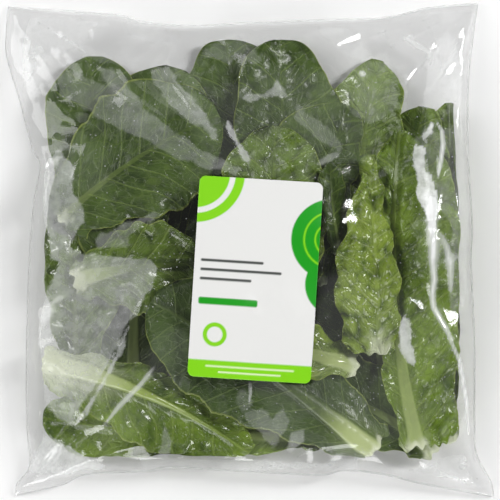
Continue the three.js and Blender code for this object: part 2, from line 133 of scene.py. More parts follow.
# ---- the bag's outline, seam heights and leaf plan, in millimetres, as in the part
LEFT_EDGE = [
    (-130, -136), (-129, -129), (-122, -119), (-123, -98), (-123, -60), (-121.5, -10), (-119, 25),
    (-115.5, 46), (-120, 56), (-127, 82), (-133, 101), (-135, 112), (-134, 135),
]
RIGHT_EDGE = [
    (135, -137), (133.5, -128), (125.5, -113), (124, -96), (123.5, -50), (121.5, -8), (122, 15),
    (120, 55), (120.5, 92), (123.5, 118), (126.5, 137),
]
FOOT_EDGE = [
    (-130, -136), (-104, -130), (-90, -124), (-56, -122), (-44, -120), (0, -122), (38, -124),
    (52, -121.5), (74, -124), (96, -129.5), (135, -137),
]
MOUTH_EDGE = [
    (-134, 135), (-96, 132), (-72, 130), (-58, 126), (-32, 124), (0, 125.5), (38, 127), (76, 129),
    (98, 134), (126.5, 137),
]
HALF_WIDTH, HALF_LENGTH = 135, 137
WIDTH, LENGTH = 2 * HALF_WIDTH, 2 * HALF_LENGTH
SEAM_HEIGHT = {"left": 18, "right": 19, "foot": 15, "mouth": 8}
CORNER_HEIGHT = 1.5
MOUTH_WAVE, MOUTH_WAVES = 1.5, 14
BELLY_CURVE = 36
MOUTH_GAP = 2.6

# The solids' leaves, from the base to the tip where there are two numbers
BLADE = 1.15
RIB_THICKNESS = (6.5, 1.6)
RIB_HALF_WIDTH = (7.5, 1.2)
LEAF_INSET, LEAF_SOFT_ZONE = 7.4, 9
LEAF_SWEEP, SCALLOP, LEAST_BLADE, FULL_BLADE = 0.3, 1.4, 4, 20
TIP_START = 0.68

# Each leaf from the bottom of the pile up: base, tip, bow, width left and right, share of the width at
# the cut end, whether its underside is up, its finish, how strongly it is puckered, and how bold its rib is
LEAVES = [
    ((-62, -100), (-48, 60), 8, (38, 38), 0.34, False, "outer", 0.5, 0.5),
    ((76, -104), (42, 58), -8, (38, 36), 0.34, False, "outer", 0.5, 0.5),
    ((4, -94), (6, 50), 6, (38, 38), 0.34, True, "underside", 0.5, 0.5),
    ((-97, -78), (-105, 40), -4, (18, 28), 0.34, False, "blistered", 0.9, 0.05),
    ((109, -106), (114, 50), 4, (24, 12), 0.6, False, "middle", 0.9, 0.5),
    ((100, -50), (111, 81), -3, (18, 10), 0.45, False, "middle", 0.7, 0.2),
    ((84, -34), (96, 79), 4, (18, 19), 0.34, True, "middle", 0.6, 0.2),
    ((60, -10), (71, 105), 4, (22, 20), 0.34, False, "middle", 0.8, 0.03),
    ((40, -102), (-117, -92), 4, (20, 20), 0.34, True, "middle", 0.7, 0.25),
    ((102, -112), (18, -72), -7, (26, 24), 0.34, False, "outer", 0.7, 0.3),
    ((-4, -12), (-14, 119), -4, (30, 28), 0.34, True, "outer", 0.6, 0.02),
    ((40, -18), (17, 117), 7, (27, 32), 0.34, False, "outer", 0.8, 0.02),
    ((-56, -6), (-42, 101), 5, (30, 34), 0.34, False, "outer", 0.6, 0.02),
    ((-44, -42), (-88, 107), 10, (31, 34), 0.34, True, "outer", 0.6, 0.02),
    ((24, -44), (55, 79), 6, (36, 18), 0.34, True, "outer", 0.6, 0.02),
    ((-104, 16), (-17, 74), 5, (38, 36), 0.45, True, "outer", 0.6, 0.06),
    ((-97, -17), (-26, -8), 3, (24, 27), 0.4, False, "blistered", 0.9, 0.45),
    ((-116, -60), (0, -112), 7, (15, 28), 0.5, True, "middle", 1.0, 1.0),
    ((68, -111), (-54, -28), -4, (34, 36), 0.42, True, "underside", 0.5, 0.8),
    ((92, -109), (82, 66), 8, (14, 40), 0.62, False, "middle", 1.7, 0.35),
    ((60, -62), (-14, -34), 5, (18, 20), 0.4, False, "heart", 1.6, 0.6),
    ((22, -46), (14, 68), 4, (30, 30), 0.34, False, "blistered", 2.0, 0.03),
    ((50, -2), (44, 48), 2, (7, 8), 0.7, False, "outer", 0.6, 0.1),
    ((71, -57), (65, 52), 0, (23, 12), 0.8, False, "heart", 2.5, 0.02),
]
# One leaf, curled narrow, is widest lower down and tapers to its tip
FOLDED_LEAF, FOLDED_PEAK, FOLDED_POINT, USUAL_PEAK = 24, 0.35, 0.7, 0.6
# How far up some leaves their pale end reaches, and how far out from the rib, in millimetres
PALE_ENDS = {17: (15, 3), 18: (64, 15), 19: (5, 2), 24: (17, 8)}
USUAL_PALE_END = (7, 3)
# Where along the leaf the rib fades into the blade, and by how much
EARLY_RIBS = {17: (0.18, 0.5, 0.9), 19: (0.1, 0.28, 0.9)}
USUAL_RIB = (0.35, 0.95, 0.7)


def smooth(x, low, high):
    """0 below the low value and 1 above the high one, with an eased step between."""
    t = np.clip((np.asarray(x, float) - low) / (high - low), 0, 1)
    return t * t * (3 - 2 * t)


def edge_through(points):
    """A Catmull-Rom curve through the points, read by its share of the length."""
    p = np.array(points, float)
    samples = []
    for k in range(len(p) - 1):
        p0 = p[max(k - 1, 0)] if k else p[0]
        p3 = p[min(k + 2, len(p) - 1)]
        t = np.linspace(0, 1, 24, endpoint=k == len(p) - 2)[:, None]
        v0, v1 = (p[k + 1] - p0) / 2, (p3 - p[k]) / 2
        a = 2 * p[k] - 2 * p[k + 1] + v0 + v1
        b = -3 * p[k] + 3 * p[k + 1] - 2 * v0 - v1
        samples.append(a * t**3 + b * t**2 + v0 * t + p[k])
    line = np.concatenate(samples)
    run = np.concatenate([[0], np.cumsum(np.hypot(*np.diff(line, axis=0).T))])
    run /= run[-1]
    return lambda t: np.stack([np.interp(t, run, line[:, 0]), np.interp(t, run, line[:, 1])], -1)


left_edge, right_edge = edge_through(LEFT_EDGE), edge_through(RIGHT_EDGE)
foot_edge, mouth_edge = edge_through(FOOT_EDGE), edge_through(MOUTH_EDGE)


def bag_point(s, t):
    """A point inside the outline: the patch spanned by its four edges."""
    s, t = np.asarray(s, float)[..., None], np.asarray(t, float)[..., None]
    sides = left_edge(t[..., 0]) * (1 - s) + right_edge(t[..., 0]) * s
    ends = foot_edge(s[..., 0]) * (1 - t) + mouth_edge(s[..., 0]) * t
    low = left_edge(0.0) * (1 - s) + right_edge(0.0) * s
    high = left_edge(1.0) * (1 - s) + right_edge(1.0) * s
    return sides + ends - (low * (1 - t) + high * t)


SEAM_FULLNESS, BELLY_STEEPNESS = 0.8, 1.3


def seam_share(t):
    """How much of its full height a seam has along its length: none at the corners."""
    return np.sin(np.pi * np.clip(t, 0, 1)) ** SEAM_FULLNESS


def seam_heights(s, t):
    """Heights of the four seams beside a point; the mouth's open edge waves a little."""
    def between(name, share):
        return CORNER_HEIGHT + (SEAM_HEIGHT[name] - CORNER_HEIGHT) * share

    mouth = between("mouth", seam_share(s)) + MOUTH_WAVE * np.sin(MOUTH_WAVES * s) * seam_share(s)
    return (
        between("left", seam_share(t)),
        between("right", seam_share(t)),
        between("foot", seam_share(s)),
        mouth,
    )


def back_height(s, t):
    """Height of the back film: flat under the belly, and rising to the seam."""
    left, right, foot, mouth = seam_heights(s, t)

    def rise(height, distance):
        return height * (1 - smooth(distance, 0, BELLY_CURVE)) ** BELLY_STEEPNESS

    return np.maximum.reduce([
        rise(left, s * WIDTH),
        rise(right, (1 - s) * WIDTH),
        rise(foot, t * LENGTH),
        rise(mouth, (1 - t) * LENGTH),
    ])


# ---- numbers on a grid: noise, blurring and a height map of the pile
def blur(grid, sigma, odd=False):
    """Gaussian blur of a 2-D array; sigma in cells along each axis. odd keeps the slope at the edges."""
    out = np.asarray(grid, float)
    for axis, s in enumerate(sigma if np.ndim(sigma) else (sigma, sigma)):
        reach = min(max(1, int(3 * s)), out.shape[axis] - 1)
        weights = np.exp(-0.5 * (np.arange(-reach, reach + 1) / max(s, 1e-3)) ** 2)
        weights /= weights.sum()
        pad = [(0, 0), (0, 0)]
        pad[axis] = (reach, reach)
        wide = np.pad(out, pad, "reflect", reflect_type="odd" if odd else "even")
        out = np.apply_along_axis(lambda line: np.convolve(line, weights, "valid"), axis, wide)
    return out


def ripple(seed, x, y, size):
    """Smooth seeded noise from -1 to 1 with features about `size` across."""
    draw = np.random.default_rng(seed)
    total = np.zeros(np.broadcast(x, y).shape)
    for _ in range(9):
        angle, phase = draw.uniform(0, 2 * np.pi, 2)
        rate = 2 * np.pi / (size * draw.uniform(0.7, 1.6))
        total = total + np.sin(rate * (x * np.cos(angle) + y * np.sin(angle)) + phase)
    return total / 4


def blisters(seed, x, y, size):
    """Domes about `size` across, one in each cell of a jittered grid, from 0 to 1."""
    draw = np.random.default_rng(seed)
    shift = draw.uniform(0, 1, (2, 64, 64))
    fx, fy = x / size + 200, y / size + 200
    i, j = np.floor(fx).astype(int), np.floor(fy).astype(int)
    near = np.full(fx.shape, 9.0)
    for di in (-1, 0, 1):
        for dj in (-1, 0, 1):
            cx, cy = i + di, j + dj
            away = np.hypot(cx + shift[0, cx % 64, cy % 64] - fx, cy + shift[1, cx % 64, cy % 64] - fy)
            near = np.minimum(near, away)
    return np.clip(1 - (near / 0.95) ** 2, 0, 1)


RASTER_HALF = 142
RASTER_SIDE = 2 * RASTER_HALF + 1
pile = np.full((RASTER_SIDE, RASTER_SIDE), -1.0)


def read_map(grid, x, y):
    """Bilinear reading of a 1 mm raster."""
    fx = np.clip(x + RASTER_HALF, 0, RASTER_SIDE - 1.001)
    fy = np.clip(y + RASTER_HALF, 0, RASTER_SIDE - 1.001)
    i, j = fy.astype(int), fx.astype(int)
    a, b = fy - i, fx - j
    return (grid[i, j] * (1 - a) + grid[i + 1, j] * a) * (1 - b) + (
        grid[i, j + 1] * (1 - a) + grid[i + 1, j + 1] * a
    ) * b


def grow(grid):
    """Each cell takes the highest of itself and its neighbours."""
    wide = np.pad(grid, 1, "edge")
    n, m = grid.shape
    return np.maximum.reduce([wide[i : i + n, j : j + m] for i in range(3) for j in range(3)])


def lay(x, y, z):
    """Adds a sheet of points, given as 2-D arrays, to the pile's height map."""

    def denser(g):
        g = np.insert(g, range(1, g.shape[0]), (g[1:] + g[:-1]) / 2, axis=0)
        return np.insert(g, range(1, g.shape[1]), (g[:, 1:] + g[:, :-1]) / 2, axis=1)

    x, y, z = denser(x), denser(y), denser(z)
    i = np.clip(np.round(y + RASTER_HALF).astype(int), 0, RASTER_SIDE - 1)
    j = np.clip(np.round(x + RASTER_HALF).astype(int), 0, RASTER_SIDE - 1)
    np.maximum.at(pile, (i.ravel(), j.ravel()), z.ravel())


# ---- mesh making
def grid_faces(rows, columns, flip=False):
    """The four-sided faces of a grid of points."""
    k = np.arange(rows * columns).reshape(rows, columns)
    a, b, c, d = k[:-1, :-1], k[:-1, 1:], k[1:, 1:], k[1:, :-1]
    quads = np.stack([a, b, c, d] if not flip else [a, d, c, b], -1)
    return quads.reshape(-1, 4)


def rim_of(rows, columns):
    """The numbers of a grid's outer points, in order round it."""
    k = np.arange(rows * columns).reshape(rows, columns)
    return np.concatenate([k[0, :-1], k[:-1, -1], k[-1, :0:-1], k[:0:-1, 0]])


def mesh_object(name, points, faces, smooth_shade=True):
    """A mesh object at the origin; points in millimetres."""
    mesh = bpy.data.meshes.new(name)
    mesh.from_pydata((np.asarray(points) * MM).tolist(), [], [list(map(int, f)) for f in faces])
    mesh.validate()
    mesh.shade_smooth() if smooth_shade else mesh.shade_flat()
    made = bpy.data.objects.new(name, mesh)
    bpy.context.scene.collection.objects.link(made)
    return made


def rows_of_points(x, y, z):
    """Grids of coordinates as a list of points."""
    return np.stack([x.ravel(), y.ravel(), z.ravel()], -1)


def thin_solid(name, x, y, upper, lower):
    """A closed mesh: two faces over one grid of points, joined round their rim."""
    count, rim = x.size, rim_of(*x.shape)
    after = np.roll(rim, -1)
    faces = np.concatenate([
        grid_faces(*x.shape),
        grid_faces(*x.shape, flip=True) + count,
        np.stack([after, rim, rim + count, after + count], -1),
    ])
    return mesh_object(name, np.concatenate([rows_of_points(x, y, upper), rows_of_points(x, y, lower)]), faces)


def put_attribute(thing, name, values):
    """A number for each point of a mesh, for its material to read."""
    data = thing.data.attributes.new(name, "FLOAT", "POINT")
    data.data.foreach_set("value", np.asarray(values, np.float32).ravel())


def put_uv(thing, name, u, v):
    """A UV map from one pair of numbers for each point."""
    layer = thing.data.uv_layers.new(name=name)
    corner = np.empty(len(thing.data.loops), int)
    thing.data.loops.foreach_get("vertex_index", corner)
    pairs = np.stack([np.ravel(u)[corner], np.ravel(v)[corner]], -1)
    layer.data.foreach_set("uv", pairs.astype(np.float32).ravel())


# ---- the film's grid; its back skin is the floor that the pile lies on
FILM_CELLS = 220
FILM_GAP = 0.35
share_across = np.linspace(0, 1, FILM_CELLS)
film_s, film_t = np.meshgrid(share_across, share_across)
film_xy = bag_point(film_s, film_t)
film_x, film_y = film_xy[..., 0], film_xy[..., 1]
film_back = back_height(film_s, film_t)
lay(film_x, film_y, film_back)


# ---- leaves
def keep_inside(x, y):
    """Points moved in from the bag's edges, softly, so that a leaf bends along its seam."""
    along = np.clip((y + HALF_LENGTH) / LENGTH, 0, 1)
    across = np.clip((x + HALF_WIDTH) / WIDTH, 0, 1)

    def limit(value, low, high):
        soft = LEAF_SOFT_ZONE
        top, foot = high - soft, low + soft
        value = np.where(value > top, top + soft * np.tanh((value - top) / soft), value)
        return np.where(value < foot, foot - soft * np.tanh((foot - value) / soft), value)

    return (
        limit(x, left_edge(along)[..., 0] + LEAF_INSET, right_edge(along)[..., 0] - LEAF_INSET),
        limit(y, foot_edge(across)[..., 1] + LEAF_INSET, mouth_edge(across)[..., 1] - LEAF_INSET),
    )


def leaf_width(u, neck, folded):
    """A leaf's share of its full width: its neck at the cut end, then wide, then a round tip."""
    past = np.maximum(0, (u - TIP_START) / (1 - TIP_START))
    peak, pointed = (FOLDED_PEAK, FOLDED_POINT) if folded else (USUAL_PEAK, 0)
    body = (neck + (1 - neck) * smooth(u, 0, peak)) * (1 - pointed * smooth(u, peak, 1))
    return body * (1 - 0.95 * past**3) ** 0.6


def height_on(node, x, y):
    """Height of a solid's upper face under each point, or of its nearest point beside it."""
    mesh = node.data
    tree = BVHTree.FromPolygons([v.co for v in mesh.vertices], [p.vertices for p in mesh.polygons])
    down = Vector((0, 0, -1))
    out = np.empty(x.size)
    for k, (px, py) in enumerate(zip(x.ravel() * MM, y.ravel() * MM)):
        hit = tree.ray_cast(Vector((px, py, 1)), down)[0]
        if hit is None:
            hit = tree.find_nearest(Vector((px, py, out[k - 1] * MM if k else 0.02)))[0]
        out[k] = hit.z / MM
    return out.reshape(x.shape)


def on_both_faces(values, shape):
    """One value for each point of a grid, for its upper and then its lower face."""
    return np.tile(np.broadcast_to(values, shape).ravel(), 2)


# The leaf's grid: its rows are even along the body and close up towards the tip
ROW_STEP = 1.15
BODY_ROWS = 8 / 13
SPARE_WIDTH = 4
# The ragged margin and the torn base, in millimetres
MARGIN_WAVES, WAVE_PITCH = 2.6, 1.7
NICK, NICK_SIZE = 0.55, 7
TEAR, TEAR_SIZE, TEAR_LIMITS, TEAR_REACH = 1.8, 5, (-4, 3), 12
CORNER_ROUNDING = 5
# The rib's section in the solids: the height of its shoulder, and how far out over the blade it runs
RIB_SHOULDER, RIB_SKIRT = 0.62, 0.3
SOLID_SMOOTHING = (3.4, 2.6)
# The rib as drawn here, in millimetres: the widest half width of a bold one, and the least of any
BOLD_RIB, THIN_RIB = 6.4, 0.8
RIB_LUMPS, RIB_LUMP_SIZE = 0.05, 5
RIB_ABOVE, RIB_BELOW = 0.25, 0.75
# Side veins leave the rib at a slant, bend towards the tip and wander
VEIN_SPACING, VEIN_SLANT, VEIN_BEND = 12.5, 0.8, 0.004
VEIN_WANDER, WANDER_SIZE = 0.16, 40
# Puckers: the swell between side veins, the blisters between small veins, and a slow roll
SWELL, BLISTER, ROLL = 0.4, 1.9, 0.8
BLISTER_SIZE, BLISTER_SLANT, ROLL_SIZE = 6.0, 0.25, 14
PUCKER_HEIGHT = 0.85
# The frill at the margin: each wave's height, how it shifts from side to side, and its length
FRILLS = ((1.5, 6, 15), (0.7, 4, 7))
FRILL_START = 0.62
MARGIN_THICKNESS, EXTRA_AT_RIB = 0.5, 0.2
LEAF_CLEARANCE, LIFT_SPREAD, LIFT_ROUNDS = 0.22, 1.6, 7
# The veins' map has its left half moved aside, so that the two halves don't share a pattern
LEFT_HALF_SHIFT = 20


def leaf_plan(number, base, tip, bow, wide, neck):
    """Where the points of a leaf lie seen from above, and how far along and out from the rib they are."""
    base, tip = np.array(base, float), np.array(tip, float)
    along = tip - base
    length = np.hypot(*along)
    normal = np.array([-along[1], along[0]]) / length
    middle = (base + tip) / 2 + normal * 2 * bow
    size = min(1, max(wide) / FULL_BLADE)
    row = np.linspace(0, 1, int(length / ROW_STEP))
    u = np.where(
        row < BODY_ROWS,
        TIP_START * row / BODY_ROWS,
        TIP_START + (1 - TIP_START) * np.sin(0.5 * np.pi * (row - BODY_ROWS) / (1 - BODY_ROWS)),
    )[:, None]
    w = np.linspace(-1, 1, 2 * int((max(wide) + SPARE_WIDTH) / ROW_STEP) + 1)[None, :]
    side, share = np.sign(w), np.abs(w)
    rib_half = size * (RIB_HALF_WIDTH[0] + (RIB_HALF_WIDTH[1] - RIB_HALF_WIDTH[0]) * u**0.7)
    blade = np.where(w < 0, wide[0], wide[1])
    phase = (number * 2.4) + np.where(w < 0, 1.3, 0)
    waves = 2 * np.pi * (MARGIN_WAVES + 0.25 * (number % 4)) * u + phase
    width = blade * leaf_width(u, neck, number == FOLDED_LEAF)
    margin = np.maximum(width, rib_half / 2 + LEAST_BLADE * size)
    offset = share * margin
    back = (LEAF_SWEEP * smooth(u, 0.3, 0.9) * offset**2) / (blade * length)
    scallop = SCALLOP * size * share**2 * np.sin(waves * WAVE_PITCH)
    run = u * length
    nick = NICK * size * share**6 * ripple(number + 50, run, w * 30, NICK_SIZE)
    torn = TEAR * ripple(number + 70, side * offset, 0 * u, TEAR_SIZE) - CORNER_ROUNDING * share**4
    torn = (1 - smooth(run, 0, TEAR_REACH)) * (torn.clip(*TEAR_LIMITS) * -size)
    t = (u - back + torn / length)[..., None]
    place = (1 - t) ** 2 * base + 2 * t * (1 - t) * middle + t**2 * tip
    tangent = 2 * (1 - t) * (middle - base) + 2 * t * (tip - middle)
    tangent /= np.linalg.norm(tangent, axis=-1, keepdims=True)
    reach = side * (offset + scallop + nick)
    x, y = keep_inside(place[..., 0] + tangent[..., 1] * reach, place[..., 1] - tangent[..., 0] * reach)
    return x, y, u, w, run, offset, margin, rib_half, size


def make_leaf(number, base, tip, bow, wide, neck, under, pucker, rib_boldness):
    """One leaf, laid on the pile: it takes its middle height from its solid, and its detail from noise.
    Each noise has a seed of its own, some tens above the leaf's number."""
    x, y, u, w, run, offset, margin, solid_rib, size = leaf_plan(number, base, tip, bow, wide, neck)
    signed, share = np.sign(w) * offset, np.abs(w)
    top = height_on(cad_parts[f"leaf_{number:02d}"], x, y)
    rib_depth = size * (RIB_THICKNESS[0] + (RIB_THICKNESS[1] - RIB_THICKNESS[0]) * u**0.8) - size * BLADE
    first = solid_rib / 2
    second = first + RIB_SKIRT * np.maximum(margin - first, 0.1)
    in_solid = rib_depth * np.where(
        offset < first,
        1 - (1 - RIB_SHOULDER) * offset / first,
        RIB_SHOULDER * np.clip((second - offset) / (second - first), 0, 1),
    )
    middle_z = top - BLADE / 2 - (in_solid if under else 0)
    middle_z = blur(middle_z, [reach / ROW_STEP for reach in SOLID_SMOOTHING], odd=True)

    rib_half = size * (BOLD_RIB * rib_boldness**0.5 * (1 - u) ** 2 + THIN_RIB)
    lean = run - VEIN_SLANT * offset - VEIN_BEND * offset**2
    wander = VEIN_WANDER * ripple(number + 20, run, signed, WANDER_SIZE)
    vein = lean / VEIN_SPACING + np.where(w < 0, 0.5, 0) + wander
    swell = 1 - (1 - np.abs(np.mod(vein, 1) - 0.5) * 2) ** 2
    blister = blisters(number + 30, run - BLISTER_SLANT * offset, signed, BLISTER_SIZE)
    puff = SWELL * swell + BLISTER * blister + ROLL * ripple(number + 31, lean, signed, ROLL_SIZE)
    # A bold rib stays straight and smooth; the blade is free to pucker beyond it.
    free = 1 - min(1, 6 * rib_boldness) * (1 - smooth(offset, 0.8 * rib_half, 1.8 * rib_half + 3))
    frill = smooth(share, FRILL_START, 1) * sum(
        height * ripple(number + 40 + k, run, shift * w, size_along)
        for k, (height, shift, size_along) in enumerate(FRILLS)
    )
    away = -1 if under else 1
    middle_z = middle_z + size * free * (PUCKER_HEIGHT * pucker * puff * away + (0.8 + 0.7 * pucker) * frill)

    half_thick = (MARGIN_THICKNESS + EXTRA_AT_RIB * (1 - share)) / 2
    rib_round = np.sqrt(np.clip(1 - (offset / (1.15 * rib_half)) ** 2, 0, 1))
    lumps = 1 + RIB_LUMPS * ripple(number + 60, run, signed, RIB_LUMP_SIZE)
    rib_bump = min(1, rib_boldness) * rib_depth * rib_round * lumps
    groove = 0.22 * rib_half * np.exp(-((offset / (0.45 * rib_half + 0.3)) ** 2))
    above = half_thick + (rib_bump if under else RIB_ABOVE * rib_bump - groove)
    below = half_thick + (0 if under else RIB_BELOW * rib_bump)

    # Lift the leaf wherever it would touch the pile, with the lift spread round that spot.
    lack = read_map(grow(pile), x, y) + LEAF_CLEARANCE - (middle_z - below)
    lift = np.maximum(lack, 0)
    for _ in range(LIFT_ROUNDS):
        lift = np.maximum(np.maximum(lack, 0), blur(lift, LIFT_SPREAD))
    middle_z = middle_z + lift
    lay(x, y, middle_z + above)
    made = thin_solid(f"cos_leaf_{number:02d}", x, y, middle_z + above, middle_z - below)

    fade_from, fade_to, faded = EARLY_RIBS.get(number, USUAL_RIB)
    reach_up, reach_out = PALE_ENDS.get(number, USUAL_PALE_END)
    ragged = ripple(number + 80, run, signed, 6)
    near_cut = 1 - smooth(run + 2 * ragged, 0, reach_up)
    near_rib = 1 - smooth(offset + 1.5 * ragged, rib_half, rib_half + reach_out)
    measures = {
        "rib_share": offset / rib_half,
        "margin_share": share,
        "along": u,
        "rib_paleness": min(1, 0.12 + rib_boldness) * (1 - faded * smooth(u, fade_from, fade_to)),
        "pale_end": near_cut * near_rib,
        # How high each blister stands; the material paints the crests lighter with it, as painted light
        "painted_crest_light": free * blister,
    }
    for name, values in measures.items():
        put_attribute(made, name, on_both_faces(values, x.shape))
    out_from_rib = offset / VEIN_SPACING + np.where(w < 0, LEFT_HALF_SHIFT, 0)
    put_uv(made, "veins", on_both_faces(vein, x.shape), on_both_faces(out_from_rib, x.shape))
    return made


# ---- materials
# The colours that leaves share: a dry pale margin, a juicy rib and a bleached cut end
MARGIN_GREEN, RIB_GREEN, CUT_CREAM = "#A9B75A", "#C6D394", "#EDF2D6"
# Sizes of the leaf's patterns in millimetres: blotches of tone, the cuticle's grain, the wander of the
# veins, and the two nets of small veins between them
BLOTCH, GRAIN, BENDS, NET, SMALL_NET = 33.333, 2.381, 5.682, 4.808, 1.7857


def leaf_material(name, dark, light, pale, gloss, vein_depth, vein_width=0.06, painted_crest_share=0.3, wet=0.3):
    """Living cos lettuce leaf: a waxy cuticle over green tissue, so a soft broad sheen, with pale veins
    sunk between puckers and a pale juicy rib. Puckers' crests are painted lighter than their valleys: painted
    light on the crests and painted shade between them."""
    material, tree = new_material(name)
    given = {
        which: add_node(tree, "ShaderNodeAttribute", attribute_name=which).outputs["Fac"]
        for which in ("rib_share", "margin_share", "along", "rib_paleness", "pale_end", "painted_crest_light")
    }
    here = add_node(tree, "ShaderNodeTexCoord").outputs["Object"]
    veins = add_node(tree, "ShaderNodeUVMap", uv_map="veins")
    blotch, grain, bend = (
        add_node(
            tree,
            "ShaderNodeTexNoise",
            {"Vector": where, "Scale": unit / size, "Detail": detail, "Roughness": roughness},
        )
        for where, unit, size, detail, roughness in (
            (here, 1 / MM, BLOTCH, 6.0, 0.62),
            (here, 1 / MM, GRAIN, 3.0, 0.5),
            (veins, VEIN_SPACING, BENDS, 2.0, 0.5),
        )
    )
    bent = {0: 0.1, 4: veins, 5: bend.outputs["Color"]}
    bent = add_node(tree, "ShaderNodeMix", bent, data_type="VECTOR").outputs[1]
    net, small_net = (
        add_node(
            tree,
            "ShaderNodeTexVoronoi",
            {"Vector": bent, "Scale": VEIN_SPACING / size},
            feature="DISTANCE_TO_EDGE",
        )
        for size in (NET, SMALL_NET)
    )
    # How far each point is from the middle of the space between two side veins, from 0 to 0.5
    across = add_node(tree, "ShaderNodeSeparateXYZ", {"Vector": bent})
    for operation, second in (("FRACT", 0.0), ("SUBTRACT", 0.5), ("ABSOLUTE", 0.0)):
        across = add_node(tree, "ShaderNodeMath", {0: across, 1: second}, operation=operation)

    # Each share runs from its first value to its second as its measure goes from low to high.
    shares = {}
    for which, measure, low, high, first, second in (
        ("side_vein", across, 0.25 * vein_width, vein_width, 1.0, 0.0),
        ("mesh_vein", net, 0.01, 0.09, 1.0, 0.0),
        ("small_vein", small_net, 0.02, 0.16, 1.0, 0.0),
        ("blade", given["rib_share"], 0.75, 1.15, 0.0, 1.0),
        ("rib", given["rib_share"], 0.75, 1.15, 1.0, 0.0),
        ("near_rib", given["rib_share"], 0.9, 3.2, 0.55, 0.0),
        ("toward_base", given["along"], 0.0, 0.5, 1.0, 0.15),
        ("edge", given["margin_share"], 0.955, 0.995, 0.0, 0.5),
        ("blotch", blotch, 0.32, 0.68, 0.0, 1.0 - painted_crest_share),
        # Painted light: the crests of the puckers are painted lighter, and their valleys stay darker as painted
        # shade
        ("painted_crest_light", given["painted_crest_light"], 0.35, 0.95, 0.0, painted_crest_share),
        ("roughness", blotch, 0.2, 0.8, gloss - 0.06, gloss + 0.1),
    ):
        ends = {"Value": measure, "From Min": low, "From Max": high, "To Min": first, "To Max": second}
        shares[which] = add_node(tree, "ShaderNodeMapRange", ends, interpolation_type="SMOOTHSTEP")

    # The colour is built up in layers: what multiplies into a layer's strength, then its colour.
    # The light tone: random blotches, plus painted light on the pucker crests
    tone = {0: shares["blotch"], 1: shares["painted_crest_light"]}
    tone = add_node(tree, "ShaderNodeMath", tone, operation="ADD", use_clamp=True)
    toward_base, paleness = shares["toward_base"], given["rib_paleness"]
    rib_colour = {0: toward_base, 6: linear(pale), 7: linear(RIB_GREEN)}
    rib_colour = add_node(tree, "ShaderNodeMix", rib_colour, data_type="RGBA").outputs[2]
    colour = linear(dark)
    for factors, laid in (
        ((tone,), linear(light)),
        ((shares["near_rib"], toward_base, paleness), linear(pale)),
        ((shares["small_vein"], 0.05), linear(pale)),
        ((shares["mesh_vein"], 0.1), linear(pale)),
        ((shares["side_vein"], 0.26), linear(pale)),
        ((shares["edge"],), linear(MARGIN_GREEN)),
        ((shares["rib"], paleness), rib_colour),
        ((given["pale_end"], 0.85), linear(CUT_CREAM)),
    ):
        strength = factors[0]
        for factor in factors[1:]:
            strength = add_node(tree, "ShaderNodeMath", {0: strength, 1: factor}, operation="MULTIPLY")
        colour = add_node(tree, "ShaderNodeMix", {0: strength, 6: colour, 7: laid}, data_type="RGBA").outputs[2]

    # The veins dip into the blade and not into the rib, and the cuticle's grain covers both.
    height = 0.0
    for vein, depth in (("side_vein", -0.9), ("mesh_vein", -0.6), ("small_vein", -0.22)):
        height = {0: shares[vein], 1: depth, 2: height}
        height = add_node(tree, "ShaderNodeMath", height, operation="MULTIPLY_ADD")
    height = add_node(tree, "ShaderNodeMath", {0: height, 1: shares["blade"]}, operation="MULTIPLY")
    height = add_node(tree, "ShaderNodeMath", {0: grain, 1: 0.16, 2: height}, operation="MULTIPLY_ADD")
    bump = add_node(tree, "ShaderNodeBump", {"Height": height, "Strength": 1.0, "Distance": vein_depth})
    finish = {
        "Base Color": colour,
        "Roughness": shares["roughness"],
        "Normal": bump,
        "IOR": 1.45,
        # A thin coat of water left from washing, smoother than the cuticle under it
        "Coat Weight": wet,
        "Coat Roughness": 0.11,
        "Coat IOR": 1.33,
    }
    surface = add_node(tree, "ShaderNodeBsdfPrincipled", finish)
    add_node(tree, "ShaderNodeOutputMaterial", {"Surface": surface})
    return material


# Each finish: its deep, its light and its pale green, its roughness, and how deep its veins are in metres
# (a minus sign raises them), then for some how wide the veins are, how much painted light the pucker crests
# take, how wet
FINISHES = {
    finish: leaf_material(name, *values)
    for finish, name, *values in (
        ("outer", "outer_leaf_cuticle", "#22350A", "#4C651D", "#8FA74E", 0.36, 0.0003),
        ("blistered", "blistered_leaf_cuticle", "#26380E", "#67812B", "#A0B65A", 0.21, 0.0004, 0.07, 0.5, 0.9),
        ("middle", "middle_leaf_cuticle", "#37510F", "#7E9B26", "#9DB352", 0.26, 0.0005, 0.1, 0.28, 0.8),
        ("heart", "heart_leaf_cuticle", "#3F5C12", "#8FA63A", "#BCCD78", 0.19, 0.0005, 0.07, 0.5, 1.0),
        ("underside", "leaf_underside_bloom", "#26390F", "#42591F", "#8DA35A", 0.36, -0.0003),
    )
}

for number, (base, tip, bow, wide, neck, under, finish, pucker, bold) in enumerate(LEAVES, 1):
    leaf = make_leaf(number, base, tip, bow, wide, neck, under, pucker, bold)
    leaf.data.materials.append(FINISHES[finish])
    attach(leaf, "root")
    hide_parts(f"leaf_{number:02d}")

# ---- film: flat facets stretched between the points of the pile that hold it up
LOFT_DROP = 0.15
raster = np.arange(-RASTER_HALF, RASTER_HALF + 1.0)
raster_x, raster_y = np.meshgrid(raster, raster)
held = grow(pile) + FILM_GAP
loft = height_on(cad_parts["film_bag"], raster_x, raster_y) - LOFT_DROP


def facets(points, heights):
    """The flat-faceted surface over scattered points, as a tree to read heights from."""
    flat, _, faces, origin, _, _ = delaunay_2d_cdt([Vector(p) for p in points], [], [], 0, 1e-4)
    z = [heights[o[0]] for o in origin]
    return BVHTree.FromPolygons([Vector((p.x, p.y, h)) for p, h in zip(flat, z)], faces)


